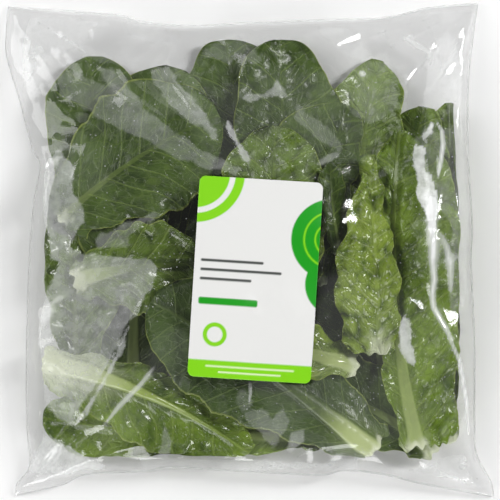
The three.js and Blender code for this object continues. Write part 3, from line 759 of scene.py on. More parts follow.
def read_facets(tree, x, y):
    """Heights of a faceted surface under each point, and nan beside it."""
    down = Vector((0, 0, -1))
    out = np.full(x.size, np.nan)
    for k, (px, py) in enumerate(zip(x.ravel(), y.ravel())):
        hit = tree.ray_cast(Vector((px, py, 500)), down)[0]
        if hit is not None:
            out[k] = hit.z
    return out.reshape(x.shape)


SEAM_POINTS, SEAM_JITTER, SEAM_STAND = 26, 0.35, 0.6
CONTACT_SPACING, CONTACT_STAND, MOST_CONTACTS = 10, 0.15, 60
CONTACT_ROUNDS, WORST_LACK, LEAST_LACK = 9, 0.5, 0.4


def stretched_film():
    """Heights of a film drawn tight over the pile. It is held at its seams, and each round adds points of
    contact where its flat facets lie deepest inside the pile, or lowest under the solids' film."""
    draw = np.random.default_rng(11)
    points, heights = [], []
    for k in range(SEAM_POINTS):
        share = np.clip((k + SEAM_JITTER * draw.uniform(-1, 1)) / SEAM_POINTS, 0, 1)
        for edge, s, t in (
            (left_edge, 0, share), (right_edge, 1, share), (foot_edge, share, 0), (mouth_edge, share, 1),
        ):
            points.append(tuple(edge(share)))
            heights.append(float(back_height(np.array(s, float), np.array(t, float))) + SEAM_STAND)
    for corner in ((0, 0), (1, 0), (0, 1), (1, 1)):
        points.append(tuple(bag_point(*corner)))
        heights.append(CORNER_HEIGHT + SEAM_STAND)
    coarse_x, coarse_y = raster_x[::2, ::2], raster_y[::2, ::2]
    need = np.maximum(np.where(pile > 0, held, -1), loft)[::2, ::2]
    for _ in range(CONTACT_ROUNDS):
        level = read_facets(facets(points, heights), coarse_x, coarse_y)
        lack = np.where(np.isnan(level), -1, need - np.nan_to_num(level))
        if lack.max() < WORST_LACK:
            break
        taken = []
        for k in np.argsort(lack, axis=None)[::-1]:
            if lack.flat[k] < LEAST_LACK or len(taken) > MOST_CONTACTS:
                break
            spot = (coarse_x.flat[k], coarse_y.flat[k])
            if all((spot[0] - p[0]) ** 2 + (spot[1] - p[1]) ** 2 > CONTACT_SPACING**2 for p in taken):
                taken.append(spot)
                points.append(spot)
                heights.append(need.flat[k] + CONTACT_STAND)
    return read_facets(facets(points, heights), film_x, film_y)


CRUMPLE_HALF, CRUMPLE_JITTER = 150, 0.42


def crumple(seed, x, y, size, height):
    """Crisp small facets: flat triangles between jittered points."""
    draw = np.random.default_rng(seed)
    steps = int(2 * RASTER_HALF / size) + 1
    even = np.linspace(-CRUMPLE_HALF, CRUMPLE_HALF, steps)
    spots = np.stack(np.meshgrid(even, even), -1).reshape(-1, 2)
    spots = spots + draw.uniform(-CRUMPLE_JITTER, CRUMPLE_JITTER, spots.shape) * size
    tree = facets([tuple(p) for p in spots], list(draw.uniform(-height, height, len(spots))))
    return np.nan_to_num(read_facets(tree, x, y))


# Each crumpling of the film: its seed, the size and height of its facets, and whether it is only in the
# slack film by the mouth
CRUMPLES = [
    (3, 24, 1.4, False),
    (4, 10, 0.45, False),
    (7, 5.5, 0.14, False),
    (5, 15, 1.7, True),
    (6, 7, 0.5, True),
]

film_z = np.nan_to_num(stretched_film(), nan=CORNER_HEIGHT)
edge_distance = np.minimum.reduce([
    film_s * WIDTH,
    (1 - film_s) * WIDTH,
    film_t * LENGTH,
    (1 - film_t) * LENGTH,
])
inner = smooth(edge_distance, 2, 12)
slack_zone = 1 - smooth((1 - film_t) * LENGTH, 12, 55)
for seed, size, height, only_slack in CRUMPLES:
    zone = inner * slack_zone if only_slack else inner
    film_z = film_z + zone * crumple(seed, film_x, film_y, size, height)


def creased(creases, x, y):
    """Ridges along polylines: each is a list of points, a height and a half width, and fades at its ends."""
    total = np.zeros(x.shape)
    for line, height, half in creases:
        p = np.array(line, float)
        steps = np.hypot(*np.diff(p, axis=0).T)
        length, done = steps.sum(), 0.0
        best, share = np.full(x.shape, 1e9), np.zeros(x.shape)
        for a, b, step in zip(p[:-1], p[1:], steps):
            t = np.clip(((x - a[0]) * (b[0] - a[0]) + (y - a[1]) * (b[1] - a[1])) / step**2, 0, 1)
            away = np.hypot(x - a[0] - t * (b[0] - a[0]), y - a[1] - t * (b[1] - a[1]))
            share = np.where(away < best, (done + t * step) / length, share)
            best = np.minimum(best, away)
            done += step
        total = total + height * np.sin(np.pi * np.clip(share, 0.02, 0.98)) ** 0.5 / (1 + (best / half) ** 2)
    return total


CORNER_FANS = (((-132, 133), -45), ((127, 135), -135), ((-129, -134), 45), ((134, -135), 135))
CREASES_IN_FAN, CREASES_AT_EDGES, CREASES_ACROSS = 7, 44, 34


def stray_creases():
    """Long fine creases: fans out of the corners, short ones in from the edges, and a few across."""
    draw = np.random.default_rng(21)
    lines = []

    def curve(start, angle, turn, distances):
        """Points at some distances from a start, on a heading that turns with the distance."""
        headings = [angle + turn * r for r in distances]
        return [(start[0] + r * math.cos(a), start[1] + r * math.sin(a)) for r, a in zip(distances, headings)]

    for corner, heading in CORNER_FANS:
        for _ in range(CREASES_IN_FAN):
            angle = math.radians(heading + draw.uniform(-38, 38))
            start, reach = draw.uniform(4, 14), draw.uniform(24, 80)
            bend = draw.uniform(-0.25, 0.25) / 80
            line = curve(corner, angle, bend, np.linspace(start, start + reach, 5))
            lines.append((line, draw.uniform(0.5, 1.2) * draw.choice([-1, 1, 1]), draw.uniform(1.0, 2.2)))
    for _ in range(CREASES_AT_EDGES):
        along = draw.uniform(0.06, 0.94)
        edge, heading = (
            (left_edge, 0), (right_edge, 180), (foot_edge, 90), (mouth_edge, -90),
        )[draw.integers(0, 4)]
        angle = math.radians(heading + draw.uniform(-40, 40))
        start, reach = draw.uniform(2, 9), draw.uniform(9, 34)
        line = curve(edge(along), angle, 0, (start, start + reach / 2, start + reach))
        lines.append((line, draw.uniform(0.35, 1.0) * draw.choice([-1, 1]), draw.uniform(0.9, 1.8)))
    for _ in range(CREASES_ACROSS):
        at = draw.uniform(-115, 115, 2)
        angle, reach = draw.uniform(0, np.pi), draw.uniform(14, 46)
        line = curve(at, angle, draw.uniform(-0.5, 0.5) / reach, (0, reach / 2, reach))
        lines.append((line, draw.uniform(0.25, 0.7), draw.uniform(0.8, 1.5)))
    return lines


# The main folds: each is a line, its height and its half width
FOLDS = [
    ([(99, 72), (97, 48), (99, 20), (97, -8), (99, -30), (108, -47), (114, -61), (117, -88),
      (120, -106)], 2.4, 1.8),
    ([(101, 70), (104, 45), (101, 22), (98, 4)], 1.5, 1.5),
    ([(-92, 98), (-58, 78), (-20, 52), (-4, 42)], 2.0, 3.0),
    ([(-70, 96), (-36, 70), (-8, 48)], 1.3, 2.0),
    ([(-13, 70), (-6, 56), (0, 43)], 1.6, 1.3),
    ([(-50, 105), (-34, 82), (-20, 62)], 1.4, 1.6),
    ([(-51, -6), (-58, -30), (-66, -46), (-80, -72), (-95, -94)], 1.4, 1.7),
    ([(36, 118), (48, 104), (60, 88)], 1.5, 1.3),
    ([(30, 116), (44, 98), (56, 84)], 1.0, 1.1),
]
# Along these folds the film is painted white, both the film's stress whitening and a painted highlight of the
# folds' shine: each is a line, how white it is and its half width
FOLD_WHITE_AND_HIGHLIGHTS = [
    ([(99.5, 8), (98.5, -6), (99.5, -16), (98.5, -24), (99.5, -31), (104, -39), (109.5, -48)], 0.95, 1.1),
    ([(106, -42), (110.5, -53), (114, -61), (116, -72), (118.3, -84), (120, -104)], 0.85, 0.75),
    ([(103, 9), (106.5, 1), (108, -7), (108.4, -16), (109, -25)], 0.7, 1.3),
    ([(101, 71), (104.5, 65), (105, 58), (103.5, 48), (101.5, 38)], 0.9, 0.8),
    ([(99, 30), (98, 14), (99, -6)], 0.9, 1.8),
    ([(-50.6, -61.6), (-60.5, -74.3), (-71.5, -85.3), (-81.4, -97.9)], 0.55, 1.3),
    ([(0, -70.5), (0.3, -77), (-0.5, -84)], 0.5, 0.8),
    ([(-2, 76), (16, 62), (30, 46)], 0.2, 0.8),
    ([(60, 98), (63, 95)], 0.9, 0.9),
    ([(82, 119), (91, 113), (98, 109), (100, 104), (96, 98)], 0.42, 1.6),
    ([(62, 133), (76, 116), (88, 98)], 0.2, 1.0),
    ([(-112, 50), (-104, 44), (-92, 36), (-86, 32)], 0.22, 0.9),
    ([(-66, 78), (-40, 61), (-14, 46)], 0.16, 1.2),
]
STRAY_WHITE, STRAY_HALF_WIDTH = 0.16, 0.8
stray = stray_creases()
film_z = film_z + inner * creased(FOLDS + stray, film_x, film_y)
stray_white = [(line, STRAY_WHITE * abs(height), STRAY_HALF_WIDTH) for line, height, _ in stray]
# The white along the creases is painted: stress whitening, and a painted highlight where the folds shine
crease_white_and_highlight = creased(FOLD_WHITE_AND_HIGHLIGHTS, film_x, film_y) + creased(stray_white, film_x, film_y)

# Round the folds off, push the film clear of the pile and of its own back, and close it at the seams.
FOLD_ROUNDING = 0.75
PUSH_ROUNDS, PUSH_SPREAD, PUSH = 5, 1.1, 1.2
SKIN_GAP, BELLY_GAP, SEAM_WIDTH, MOUTH_STARTS = 0.05, 0.3, 3.5, 0.97
film_z = blur(film_z, FOLD_ROUNDING)
film_need = read_map(np.where(pile > 0, held, -1), film_x, film_y)
for _ in range(PUSH_ROUNDS):
    film_z = film_z + blur(np.maximum(film_need - film_z, 0), PUSH_SPREAD) * PUSH
film_z = np.maximum(film_z, film_need)
film_z = np.maximum(film_z, film_back + BELLY_GAP * inner + SKIN_GAP)
seam = smooth(edge_distance, 0, SEAM_WIDTH)
mouth_gap = MOUTH_GAP * smooth(film_t, MOUTH_STARTS, 1) * seam_share(film_s)
film_z = film_back + SKIN_GAP + mouth_gap * seam_share(film_s) + (film_z - film_back - SKIN_GAP) * seam

# ---- label: paper is stiffer than the film, so it bridges the film's small dips
LABEL_SIZE = (67, 109)
LABEL_CORNER = 3.5
LABEL_CENTRE = (2.8, -16)
LABEL_TURN = math.radians(-3.6)
LABEL_STEP = 0.45
LABEL_THICKNESS = 0.12
# Half the area whose heights the label's shape is worked out from
LABEL_SURROUNDINGS = (62, 82)
# How the paper settles: first over broad humps, then stiffly over what pokes up, then close above it.
# Each is how many rounds, how far the paper spreads a hump in millimetres, and its gap above the film.
PAPER_FIRST, PAPER_SETTLES = 9, ((30, 5, 0), (3, 1.2, 0.1))
# Round the label the film comes away from the paper over this distance
PRESSED_ZONE = 16


def label_map():
    """The film's heights on the raster, smoothed as the paper would lie, and never under the film."""
    tree = BVHTree.FromPolygons(
        [Vector(p) for p in zip(film_x.ravel(), film_y.ravel(), film_z.ravel())],
        [tuple(map(int, f)) for f in grid_faces(FILM_CELLS, FILM_CELLS)],
    )
    near = (np.abs(raster_x - LABEL_CENTRE[0]) < LABEL_SURROUNDINGS[0]) & (
        np.abs(raster_y - LABEL_CENTRE[1]) < LABEL_SURROUNDINGS[1]
    )
    rows, columns = np.where(near.any(1))[0], np.where(near.any(0))[0]
    window = np.s_[rows[0] : rows[-1] + 1, columns[0] : columns[-1] + 1]
    part = read_facets(tree, raster_x[window], raster_y[window])
    paper = blur(part, PAPER_FIRST)
    part = np.maximum(part, held[window])
    for rounds, spread, gap in PAPER_SETTLES:
        for _ in range(rounds):
            paper = blur(np.maximum(paper, part + gap), spread)
    out = np.zeros(raster_x.shape)
    out[window] = paper
    return out


paper_level = label_map()


def label_coordinates(x, y):
    """Places on the label from its own centre, for points in the bag's frame."""
    dx, dy = x - LABEL_CENTRE[0], y - LABEL_CENTRE[1]
    c, s = math.cos(-LABEL_TURN), math.sin(-LABEL_TURN)
    return dx * c - dy * s, dx * s + dy * c


# Under the label the film is pressed against the paper.
on_x, on_y = label_coordinates(film_x, film_y)
past = np.maximum(np.abs(on_x) - LABEL_SIZE[0] / 2, np.abs(on_y) - LABEL_SIZE[1] / 2)
pressed = 1 - smooth(past, 0, PRESSED_ZONE)
film_z = film_z + pressed * (read_map(paper_level, film_x, film_y) - LABEL_THICKNESS - film_z)

# Patches drawn milky white on the film: each patch is an outline and how milky it is
MILKY_PATCHES = [
    ([(-111, 50), (-107, 55), (-103, 57), (-100, 51), (-95, 46), (-95, 38), (-96, 33), (-92, 27), (-89, 21),
      (-90, 15), (-93.5, 10), (-96, 5), (-99, 0), (-103, -6), (-109, -6), (-110, 6), (-112, 20),
      (-113, 33)], 0.3),
    ([(-104, -7), (-98, 2), (-93, 0.5), (-87, -1.5), (-75, -3), (-60, -4), (-53, -5), (-50.5, -9), (-51, -15),
      (-58, -28), (-64, -39), (-71, -50), (-79, -67), (-93, -88), (-97, -97), (-104, -94), (-112, -85),
      (-114.5, -67), (-115.5, -50), (-113, -27), (-110, -16)], 0.31),
    ([(-67, -44), (-75, -60), (-84, -76), (-92, -88), (-96, -97), (-90, -93), (-79, -74), (-71, -58),
      (-64, -43)], 0.38),
    ([(-84, 5.5), (-81, 10), (-73, 12), (-67, 15.5), (-60.5, 19), (-52, 22.5), (-49, 21), (-49.5, 17.6),
      (-55, 14), (-60.5, 11), (-66, 6.6), (-67, 1), (-72.6, 1.6), (-82.5, 0)], 0.17),
    ([(-56, 99), (-44, 101), (-36, 88), (-25, 76), (-18, 66), (-18.5, 60), (-24, 64), (-34, 70), (-44, 80),
      (-52, 90)], 0.22),
    ([(-107, 97), (-96, 99), (-60, 78), (-27, 56), (-4, 44), (-8, 40), (-38, 48), (-70, 65), (-104, 84)], 0.13),
    ([(-86, 101), (-76, 100), (-62, 86), (-58, 78), (-66, 78), (-78, 90)], 0.2),
    ([(-29, 105), (-21, 113.5), (-6, 118), (3, 109), (6, 104), (2, 98), (-4, 105), (-11, 103),
      (-19, 104)], 0.1),
    ([(-5, 83), (-2, 85), (6, 86), (11, 89), (15, 94), (20, 87), (21, 83.5), (12, 82.5), (0, 79.5)], 0.22),
    ([(26, 80), (38, 70), (52, 58), (50, 52), (34, 62), (22, 72)], 0.09),
    ([(34, 47), (40, 50), (50, 55), (48, 50), (38, 45)], 0.2),
    ([(-13.5, 67.6), (-12, 70.5), (-10, 66.8), (-4.4, 57.8), (-0.2, 49), (0.6, 41), (-0.8, 41), (-2.2, 47),
      (-7, 55), (-11, 62)], 0.34),
    ([(48, 92), (60, 104), (78, 104), (84, 92), (80, 76), (66, 68), (50, 78)], 0.08),
    ([(88, 62), (118, 70), (120, 20), (118, -30), (108, -36), (108, 10)], 0.1),
    # A painted highlight: the bright strip beside the right-hand fold, drawn as milky white
    ([(99, 71.5), (102, 68), (100, 63), (98, 57.5), (100.5, 56), (97, 49.5), (96, 43), (100, 41), (101.5, 32),
      (101, 19), (102, 10), (98, 8), (95.7, 12), (94, 20), (91.3, 27.5), (89.7, 35), (90, 43), (86.6, 51),
      (89.7, 56.7), (93, 64.4)], 0.8),
    ([(83.3, -33.5), (86.4, -40.7), (88, -50), (89.7, -60.5), (88.9, -63.3), (85.3, -61.4), (81.4, -56.7),
      (80, -52), (81.4, -38)], 0.42),
    ([(-8, -81), (-5.5, -75), (-1.6, -73), (0.5, -78), (3.3, -82.5), (0, -87), (-4.4, -89)], 0.1),
    ([(-4, -88), (6.6, -85), (12, -91), (18.7, -85), (21, -93.5), (17, -104.5), (13, -108), (6.6, -102),
      (0, -96)], 0.14),
    ([(18, -110), (22.5, -100), (31, -96), (29, -104.5), (23, -113)], 0.17),
    ([(-49.5, -111), (-47.3, -96), (-48, -92.4), (-44, -99), (-43, -110), (-46, -117)], 0.22),
    ([(-60, -112), (-20, -114), (40, -116), (60, -112), (60, -121), (-60, -121)], 0.24),
    ([(-122, 128), (-100, 130), (-84, 124), (-92, 112), (-112, 104), (-124, 90), (-126, 112)], 0.22),
    ([(-70, 127), (-48, 124), (-40, 116), (-54, 112), (-66, 118)], 0.14),
    ([(32, 124), (52, 122), (70, 106), (60, 104), (46, 112)], 0.12),
    ([(94, 132), (122, 132), (118, 100), (112, 70), (104, 84), (104, 112)], 0.1),
    # Painted light: the foot's left corner is drawn milky white to lighten the shade the pile casts there
    ([(-122, -122), (-100, -124), (-78, -119), (-98, -108), (-114, -100)], 0.45),
    ([(84, -121), (124, -130), (118, -112), (108, -112)], 0.3),
]


def depth_inside(outline, x, y):
    """Distance in from the outline of a closed polygon, and below zero outside it."""
    p = np.array(outline, float)
    inside, away = np.zeros(x.shape, bool), np.full(x.shape, 1e9)
    for a, b in zip(p, np.roll(p, -1, axis=0)):
        span = b - a
        t = np.clip(((x - a[0]) * span[0] + (y - a[1]) * span[1]) / (span @ span), 0, 1)
        away = np.minimum(away, np.hypot(x - a[0] - t * span[0], y - a[1] - t * span[1]))
        if a[1] != b[1]:
            crossing = a[0] + (y - a[1]) * span[0] / span[1]
            inside ^= ((a[1] > y) != (b[1] > y)) & (x < crossing)
    return np.where(inside, away, -away)


# How far outside the milky patches the measure of depth goes on, and what it is on the back skin
FAR_OUT = -9.0
patch_depth, patch_milk = np.full(film_x.shape, FAR_OUT), np.zeros(film_x.shape)
for outline, milk in MILKY_PATCHES:
    depth = np.maximum(depth_inside(outline, film_x, film_y), FAR_OUT)
    patch_milk = np.where(depth > patch_depth, milk, patch_milk)
    patch_depth = np.maximum(patch_depth, depth)

# The two skins share their points along the sides and the foot, and part at the mouth.
film_count = film_x.size
front_points = rows_of_points(film_x, film_y, film_z)
back_number = np.arange(film_count).reshape(film_x.shape) + film_count
for shared in (np.s_[:, 0], np.s_[:, -1], np.s_[0, :]):
    back_number[shared] -= film_count
back_faces = back_number.ravel()[grid_faces(FILM_CELLS, FILM_CELLS, flip=True)]
film = mesh_object(
    "film_bag_skin",
    np.concatenate([front_points, rows_of_points(film_x, film_y, film_back)]),
    np.concatenate([grid_faces(FILM_CELLS, FILM_CELLS), back_faces]),
)
film_slack = np.where(past < 1, 0.0, film_z - read_map(np.where(pile > 0, pile, FAR_OUT), film_x, film_y))
for name, on_front, on_back in (
    ("slack", film_slack, 9.0),
    ("patch_depth", patch_depth, FAR_OUT),
    ("crease_white_and_highlight", crease_white_and_highlight, 0.0),
):
    put_attribute(film, name, np.concatenate([on_front.ravel(), np.full(film_count, on_back)]))
put_attribute(film, "edge_distance", on_both_faces(edge_distance, film_x.shape))
put_attribute(film, "patch_milk", on_both_faces(patch_milk, film_x.shape))

# The film's patterns: each one's size in millimetres, its detail and its roughness
FILM_PATTERNS = {
    "torn": (11.7647, 6.0, 0.62),
    "broad": (58.8235, 2.0, 0.5),
    "speck": (1.42857, 2.0, 0.5),
    "scuff": (3.84615, 4.0, 0.7),
    "streak": (6.66667, 5.0, 0.65),
}


def film_material():
    """Cast polypropylene film: clear and glossy. It clings and clears where it touches a wet leaf, and
    turns a little milky where it stands off, with a ragged edge between the two."""
    material, tree = new_material("clear_polypropylene_film")
    given = {
        which: add_node(tree, "ShaderNodeAttribute", attribute_name=which).outputs["Fac"]
        for which in ("slack", "edge_distance", "crease_white_and_highlight", "patch_depth", "patch_milk")
    }
    here = add_node(tree, "ShaderNodeTexCoord").outputs["Object"]
    pattern = {
        which: add_node(
            tree,
            "ShaderNodeTexNoise",
            {"Vector": here, "Scale": 1 / (size * MM), "Detail": detail, "Roughness": roughness},
        )
        for which, (size, detail, roughness) in FILM_PATTERNS.items()
    }
    # Measures made ragged by a pattern: which one tears it, and how far
    ragged = {}
    for which, by, reach in (("slack", "torn", 7.0), ("crease_white_and_highlight", "streak", 0.5), ("patch_depth", "torn", 9.0)):
        centred = add_node(tree, "ShaderNodeMath", {0: pattern[by], 1: 0.5}, operation="SUBTRACT")
        torn = {0: centred, 1: reach, 2: given[which]}
        ragged[which] = add_node(tree, "ShaderNodeMath", torn, operation="MULTIPLY_ADD")
    # Each share runs from its first value to its second as its measure goes from low to high.
    shares = {}
    for which, measure, low, high, first, second in (
        ("lifted", ragged["slack"], 2.6, 3.0, 0.0, 0.035),
        ("patchy", pattern["broad"], 0.5, 0.56, 0.1, 1.0),
        ("white_and_highlit", ragged["crease_white_and_highlight"], 0.14, 0.3, 0.0, 0.9),
        ("inside", ragged["patch_depth"], 0.0, 1.3, 0.0, 1.0),
        ("cloudy", pattern["broad"], 0.35, 0.65, 0.65, 1.2),
        ("streaky", pattern["streak"], 0.36, 0.64, 0.7, 1.2),
        ("rim", given["edge_distance"], 0.0, 1.6, 0.3, 0.0),
        ("dust", pattern["speck"], 0.72, 0.78, 0.004, 0.254),
    ):
        ends = {"Value": measure, "From Min": low, "From Max": high, "To Min": first, "To Max": second}
        shares[which] = add_node(tree, "ShaderNodeMapRange", ends)
    # What whitens the film adds up, and each kind of it is a product of shares.
    haze = shares["rim"]
    for factors in (
        (shares["dust"],),
        (shares["lifted"], shares["patchy"]),
        # White painted along the creases: stress whitening and a painted highlight
        (shares["white_and_highlit"], given["crease_white_and_highlight"]),
        (shares["inside"], given["patch_milk"], shares["cloudy"], shares["streaky"]),
    ):
        part = factors[0]
        for factor in factors[1:]:
            part = add_node(tree, "ShaderNodeMath", {0: part, 1: factor}, operation="MULTIPLY")
        haze = add_node(tree, "ShaderNodeMath", {0: haze, 1: part}, operation="ADD", use_clamp=True)
    scuffed = {"Height": pattern["scuff"], "Strength": 0.12, "Distance": 0.0006}
    bump = add_node(tree, "ShaderNodeBump", scuffed)
    clear = add_node(tree, "ShaderNodeBsdfTransparent", {"Color": linear("#FAFAFA")})
    milk = add_node(tree, "ShaderNodeBsdfDiffuse", {"Color": linear("#EEF0EF")})
    body = add_node(tree, "ShaderNodeMixShader", {0: haze, 1: clear, 2: milk})
    shine = add_node(tree, "ShaderNodeBsdfGlossy", {"Roughness": 0.1, "Normal": bump})
    # The share reflected is the same from both sides, as on a thin sheet: Schlick's curve on the slant.
    slant = add_node(tree, "ShaderNodeLayerWeight", {"Blend": 0.5, "Normal": bump}).outputs["Facing"]
    curve = add_node(tree, "ShaderNodeMath", {0: slant, 1: 5.0}, operation="POWER")
    mirrored = {0: curve, 1: 0.9, 2: 0.055}
    mirrored = add_node(tree, "ShaderNodeMath", mirrored, operation="MULTIPLY_ADD", use_clamp=True)
    surface = add_node(tree, "ShaderNodeMixShader", {0: mirrored, 1: body, 2: shine})
    add_node(tree, "ShaderNodeOutputMaterial", {"Surface": surface})
    return material


film.data.materials.append(film_material())
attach(film, "root")
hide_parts("film_bag")


# ---- dew: fine beads of moisture that have gathered on the inner face of the film
BEAD_SEGMENTS, BEAD_RINGS = 8, 5
BEAD_SIZES = {
    "Beads per square metre": 27000.0,
    "Smallest bead": 0.14 * MM,
    "Largest bead": 0.4 * MM,
    "Hang": 0.16 * MM,
}
BEAD_FLATNESS = 0.45
SCATTER_SEED, SIZE_SEED = 5, 9


def dew_tree(material):
    """Beads scattered over a surface: more where its attribute "dewy" is high, each turned to the surface."""
    tree = bpy.data.node_groups.new("dew_beads_on_film", "GeometryNodeTree")
    tree.interface.new_socket("Geometry", in_out="INPUT", socket_type="NodeSocketGeometry")
    for name in BEAD_SIZES:
        tree.interface.new_socket(name, in_out="INPUT", socket_type="NodeSocketFloat")
    tree.interface.new_socket("Geometry", in_out="OUTPUT", socket_type="NodeSocketGeometry")
    given = add_node(tree, "NodeGroupInput").outputs
    dewy = add_node(tree, "GeometryNodeInputNamedAttribute", {"Name": "dewy"}, data_type="FLOAT")
    density = {0: dewy, 1: given["Beads per square metre"]}
    density = add_node(tree, "ShaderNodeMath", density, operation="MULTIPLY")
    spread = {"Mesh": given["Geometry"], "Density": density, "Seed": SCATTER_SEED}
    spread = add_node(tree, "GeometryNodeDistributePointsOnFaces", spread).outputs
    down = add_node(tree, "ShaderNodeMath", {0: given["Hang"], 1: -1.0}, operation="MULTIPLY")
    hang = add_node(tree, "ShaderNodeVectorMath", {0: spread["Normal"], "Scale": down}, operation="SCALE")
    hung = add_node(tree, "GeometryNodeSetPosition", {"Geometry": spread["Points"], "Offset": hang})
    ball = {"Segments": BEAD_SEGMENTS, "Rings": BEAD_RINGS, "Radius": 1.0}
    ball = add_node(tree, "GeometryNodeMeshUVSphere", ball).outputs["Mesh"]
    bead = add_node(tree, "GeometryNodeTransform", {"Geometry": ball, "Scale": (1.0, 1.0, BEAD_FLATNESS)})
    size = {"Min": given["Smallest bead"], "Max": given["Largest bead"], "Seed": SIZE_SEED}
    size = add_node(tree, "FunctionNodeRandomValue", size, data_type="FLOAT")
    radius = next(out for out in size.outputs if out.enabled)
    placed = {"Points": hung, "Instance": bead, "Rotation": spread["Rotation"], "Scale": radius}
    placed = add_node(tree, "GeometryNodeInstanceOnPoints", placed)
    solid = add_node(tree, "GeometryNodeRealizeInstances", {"Geometry": placed})
    coated = add_node(tree, "GeometryNodeSetMaterial", {"Geometry": solid, "Material": material})
    add_node(tree, "NodeGroupOutput", {"Geometry": coated})
    return tree


def water_material():
    """A bead of water: mostly clear, with a hard glint and a pale rim where it gathers light."""
    material, tree = new_material("condensed_water")
    clear = add_node(tree, "ShaderNodeBsdfTransparent", {"Color": linear("#F4F6F6")})
    pale = add_node(tree, "ShaderNodeBsdfDiffuse", {"Color": linear("#F4F7F4")})
    rim = add_node(tree, "ShaderNodeLayerWeight", {"Blend": 0.45}).outputs["Facing"]
    share = add_node(tree, "ShaderNodeMapRange", {"Value": rim, "To Min": 0.3, "To Max": 0.7})
    body = add_node(tree, "ShaderNodeMixShader", {0: share, 1: clear, 2: pale})
    glint = add_node(tree, "ShaderNodeBsdfGlossy", {"Roughness": 0.06})
    surface = add_node(tree, "ShaderNodeMixShader", {0: 0.12, 1: body, 2: glint})
    add_node(tree, "ShaderNodeOutputMaterial", {"Surface": surface})
    return material


# Dew keeps this far from the label and from the seams, and lies where the film is near enough to a leaf
DEW_OFF_LABEL, DEW_OFF_SEAM = 3, 9


def dew_beads():
    """The beads as one plain mesh, grown on the top skin of the film by Geometry Nodes."""
    skin = mesh_object("dew_ground", front_points, grid_faces(FILM_CELLS, FILM_CELLS))
    over_leaf = smooth(read_map(np.where(pile > 0, pile, 0.0), film_x, film_y) - film_back, 1.5, 3)
    gathered = smooth(ripple(90, film_x, film_y, 34), -0.25, 0.7)
    clear_of = (past > DEW_OFF_LABEL) * (edge_distance > DEW_OFF_SEAM)
    put_attribute(skin, "dewy", over_leaf * (0.2 + 0.8 * gathered) * clear_of)
    modifier = skin.modifiers.new("dew", "NODES")
    modifier.node_group = dew_tree(water_material())
    for socket in modifier.node_group.interface.items_tree:
        if socket.in_out == "INPUT" and socket.name in BEAD_SIZES:
            modifier[socket.identifier] = BEAD_SIZES[socket.name]
    evaluated = skin.evaluated_get(bpy.context.evaluated_depsgraph_get())
    grown = bpy.data.meshes.new_from_object(evaluated)
    grown.name = "dew_beads"
    bpy.data.objects.remove(skin)
    beads = bpy.data.objects.new("dew_beads", grown)
    bpy.context.scene.collection.objects.link(beads)
    grown.shade_smooth()
    return beads


dew = dew_beads()
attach(dew, "root")


def label_piece():
    """The label's paper, laid over the film."""
    across, up = np.meshgrid(*(np.linspace(-1, 1, int(s / LABEL_STEP) + 1) * s / 2 for s in LABEL_SIZE))
    # Round the corners: points in a corner square slide towards its centre, out to the arc.
    past_x = np.maximum(np.abs(across) - (LABEL_SIZE[0] / 2 - LABEL_CORNER), 0)
    past_y = np.maximum(np.abs(up) - (LABEL_SIZE[1] / 2 - LABEL_CORNER), 0)
    far = np.hypot(past_x, past_y)
    shrink = np.where(far > 0, np.maximum(past_x, past_y) / np.maximum(far, 1e-6), 1)
    across = across - np.sign(across) * past_x * (1 - shrink)
    up = up - np.sign(up) * past_y * (1 - shrink)
    c, s = math.cos(LABEL_TURN), math.sin(LABEL_TURN)
    x = across * c - up * s + LABEL_CENTRE[0]
    y = across * s + up * c + LABEL_CENTRE[1]
    z = read_map(paper_level, x, y)
    made = thin_solid("paper_label", x, y, z + LABEL_THICKNESS, z)
    made.data.materials.append(label_material(made, across, up))
    return made


PAPER, DEEP_GREEN, LIME, INK, PALE_LIME = "#E9E9E7", "#0F9C12", "#84D60F", "#4B4F4C", "#E4F5C4"
# The coarsest fibre of the paper, in millimetres, drawn coarser than it is so that it shows
PAPER_FIBRE = 1.1111


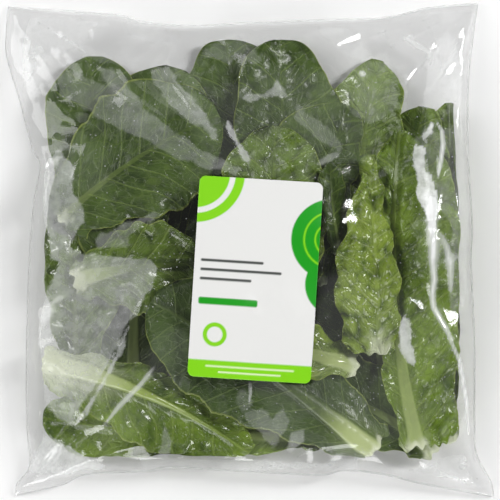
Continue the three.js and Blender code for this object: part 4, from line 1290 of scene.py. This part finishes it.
def label_material(made, across, up):
    """Coated label paper with flat offset ink, so crisp even colour: rounded shapes, rules and a band."""

    def cover(distance):
        return np.clip(0.5 - distance / LABEL_STEP, 0, 1)[..., None]

    def disc(cx, cy, r):
        return np.hypot(across - cx, up - cy) - r

    def bar(cx, cy, half_x, half_y, r=0.0):
        dx, dy = np.abs(across - cx) - half_x + r, np.abs(up - cy) - half_y + r
        return np.hypot(np.maximum(dx, 0), np.maximum(dy, 0)) + np.minimum(np.maximum(dx, dy), 0) - r

    ink = np.broadcast_to(np.array(linear(PAPER)), (*across.shape, 4)).copy()

    def print_shape(distance, colour):
        nonlocal ink
        share = cover(distance)
        ink = ink * (1 - share) + np.array(linear(colour)) * share

    # Each shape is its distance function, from the label's centre in millimetres, and its ink.
    print_shape(np.maximum(disc(-36, 56, 27), -disc(-36, 56, 22)), LIME)
    print_shape(disc(-36, 56, 19), LIME)
    print_shape(disc(40, 24, 22), DEEP_GREEN)
    print_shape(disc(44, 0, 17), DEEP_GREEN)
    print_shape(np.abs(disc(40, 24, 15)) - 0.5, LIME)
    print_shape(np.abs(disc(40, 24, 9)) - 0.5, LIME)
    for row, half in enumerate((17, 22, 14)):
        print_shape(bar(-30 + half, 9 - 5 * row, half, 0.75, 0.7), INK)
    print_shape(bar(-14, -13, 16, 1.9, 1.0), DEEP_GREEN)
    print_shape(disc(-20, -31, 6.5), LIME)
    print_shape(disc(-20, -31, 4.2), PAPER)
    print_shape(up + LABEL_SIZE[1] / 2 - 9.5, LIME)
    for k, half in enumerate((24, 17)):
        print_shape(bar(0, -48.2 - 3 * k, half, 0.45, 0.4), PALE_LIME)

    colours = made.data.color_attributes.new("ink", "FLOAT_COLOR", "POINT")
    colours.data.foreach_set("color", np.tile(ink.reshape(-1, 4), (2, 1)).astype(np.float32).ravel())
    material, tree = new_material("coated_label_paper")
    printed = add_node(tree, "ShaderNodeAttribute", attribute_name="ink").outputs["Color"]
    here = add_node(tree, "ShaderNodeTexCoord").outputs["Object"]
    fibre = {"Vector": here, "Scale": 1 / (PAPER_FIBRE * MM), "Detail": 3.0}
    fibre = add_node(tree, "ShaderNodeTexNoise", fibre)
    bump = add_node(tree, "ShaderNodeBump", {"Height": fibre, "Strength": 0.15, "Distance": 0.0002})
    paper = {"Base Color": printed, "Roughness": 0.42, "Normal": bump}
    surface = add_node(tree, "ShaderNodeBsdfPrincipled", paper)
    add_node(tree, "ShaderNodeOutputMaterial", {"Surface": surface})
    return material


label = label_piece()
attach(label, "root")
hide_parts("label")

# ---- floor
FLOOR_HALF = 4000
floor_corners = [(x * FLOOR_HALF, y * FLOOR_HALF, 0) for x, y in ((-1, -1), (1, -1), (1, 1), (-1, 1))]
floor = mesh_object("pale_floor", floor_corners, [(0, 1, 2, 3)], smooth_shade=False)
# A photographer's paper sweep: matte, so the bag's shadow on it is soft and there is no shine
sweep, sweep_tree = new_material("matte_white_sweep")
matte = add_node(sweep_tree, "ShaderNodeBsdfPrincipled", {"Base Color": linear("#FCFCFC"), "Roughness": 0.9})
add_node(sweep_tree, "ShaderNodeOutputMaterial", {"Surface": matte})
floor.data.materials.append(sweep)
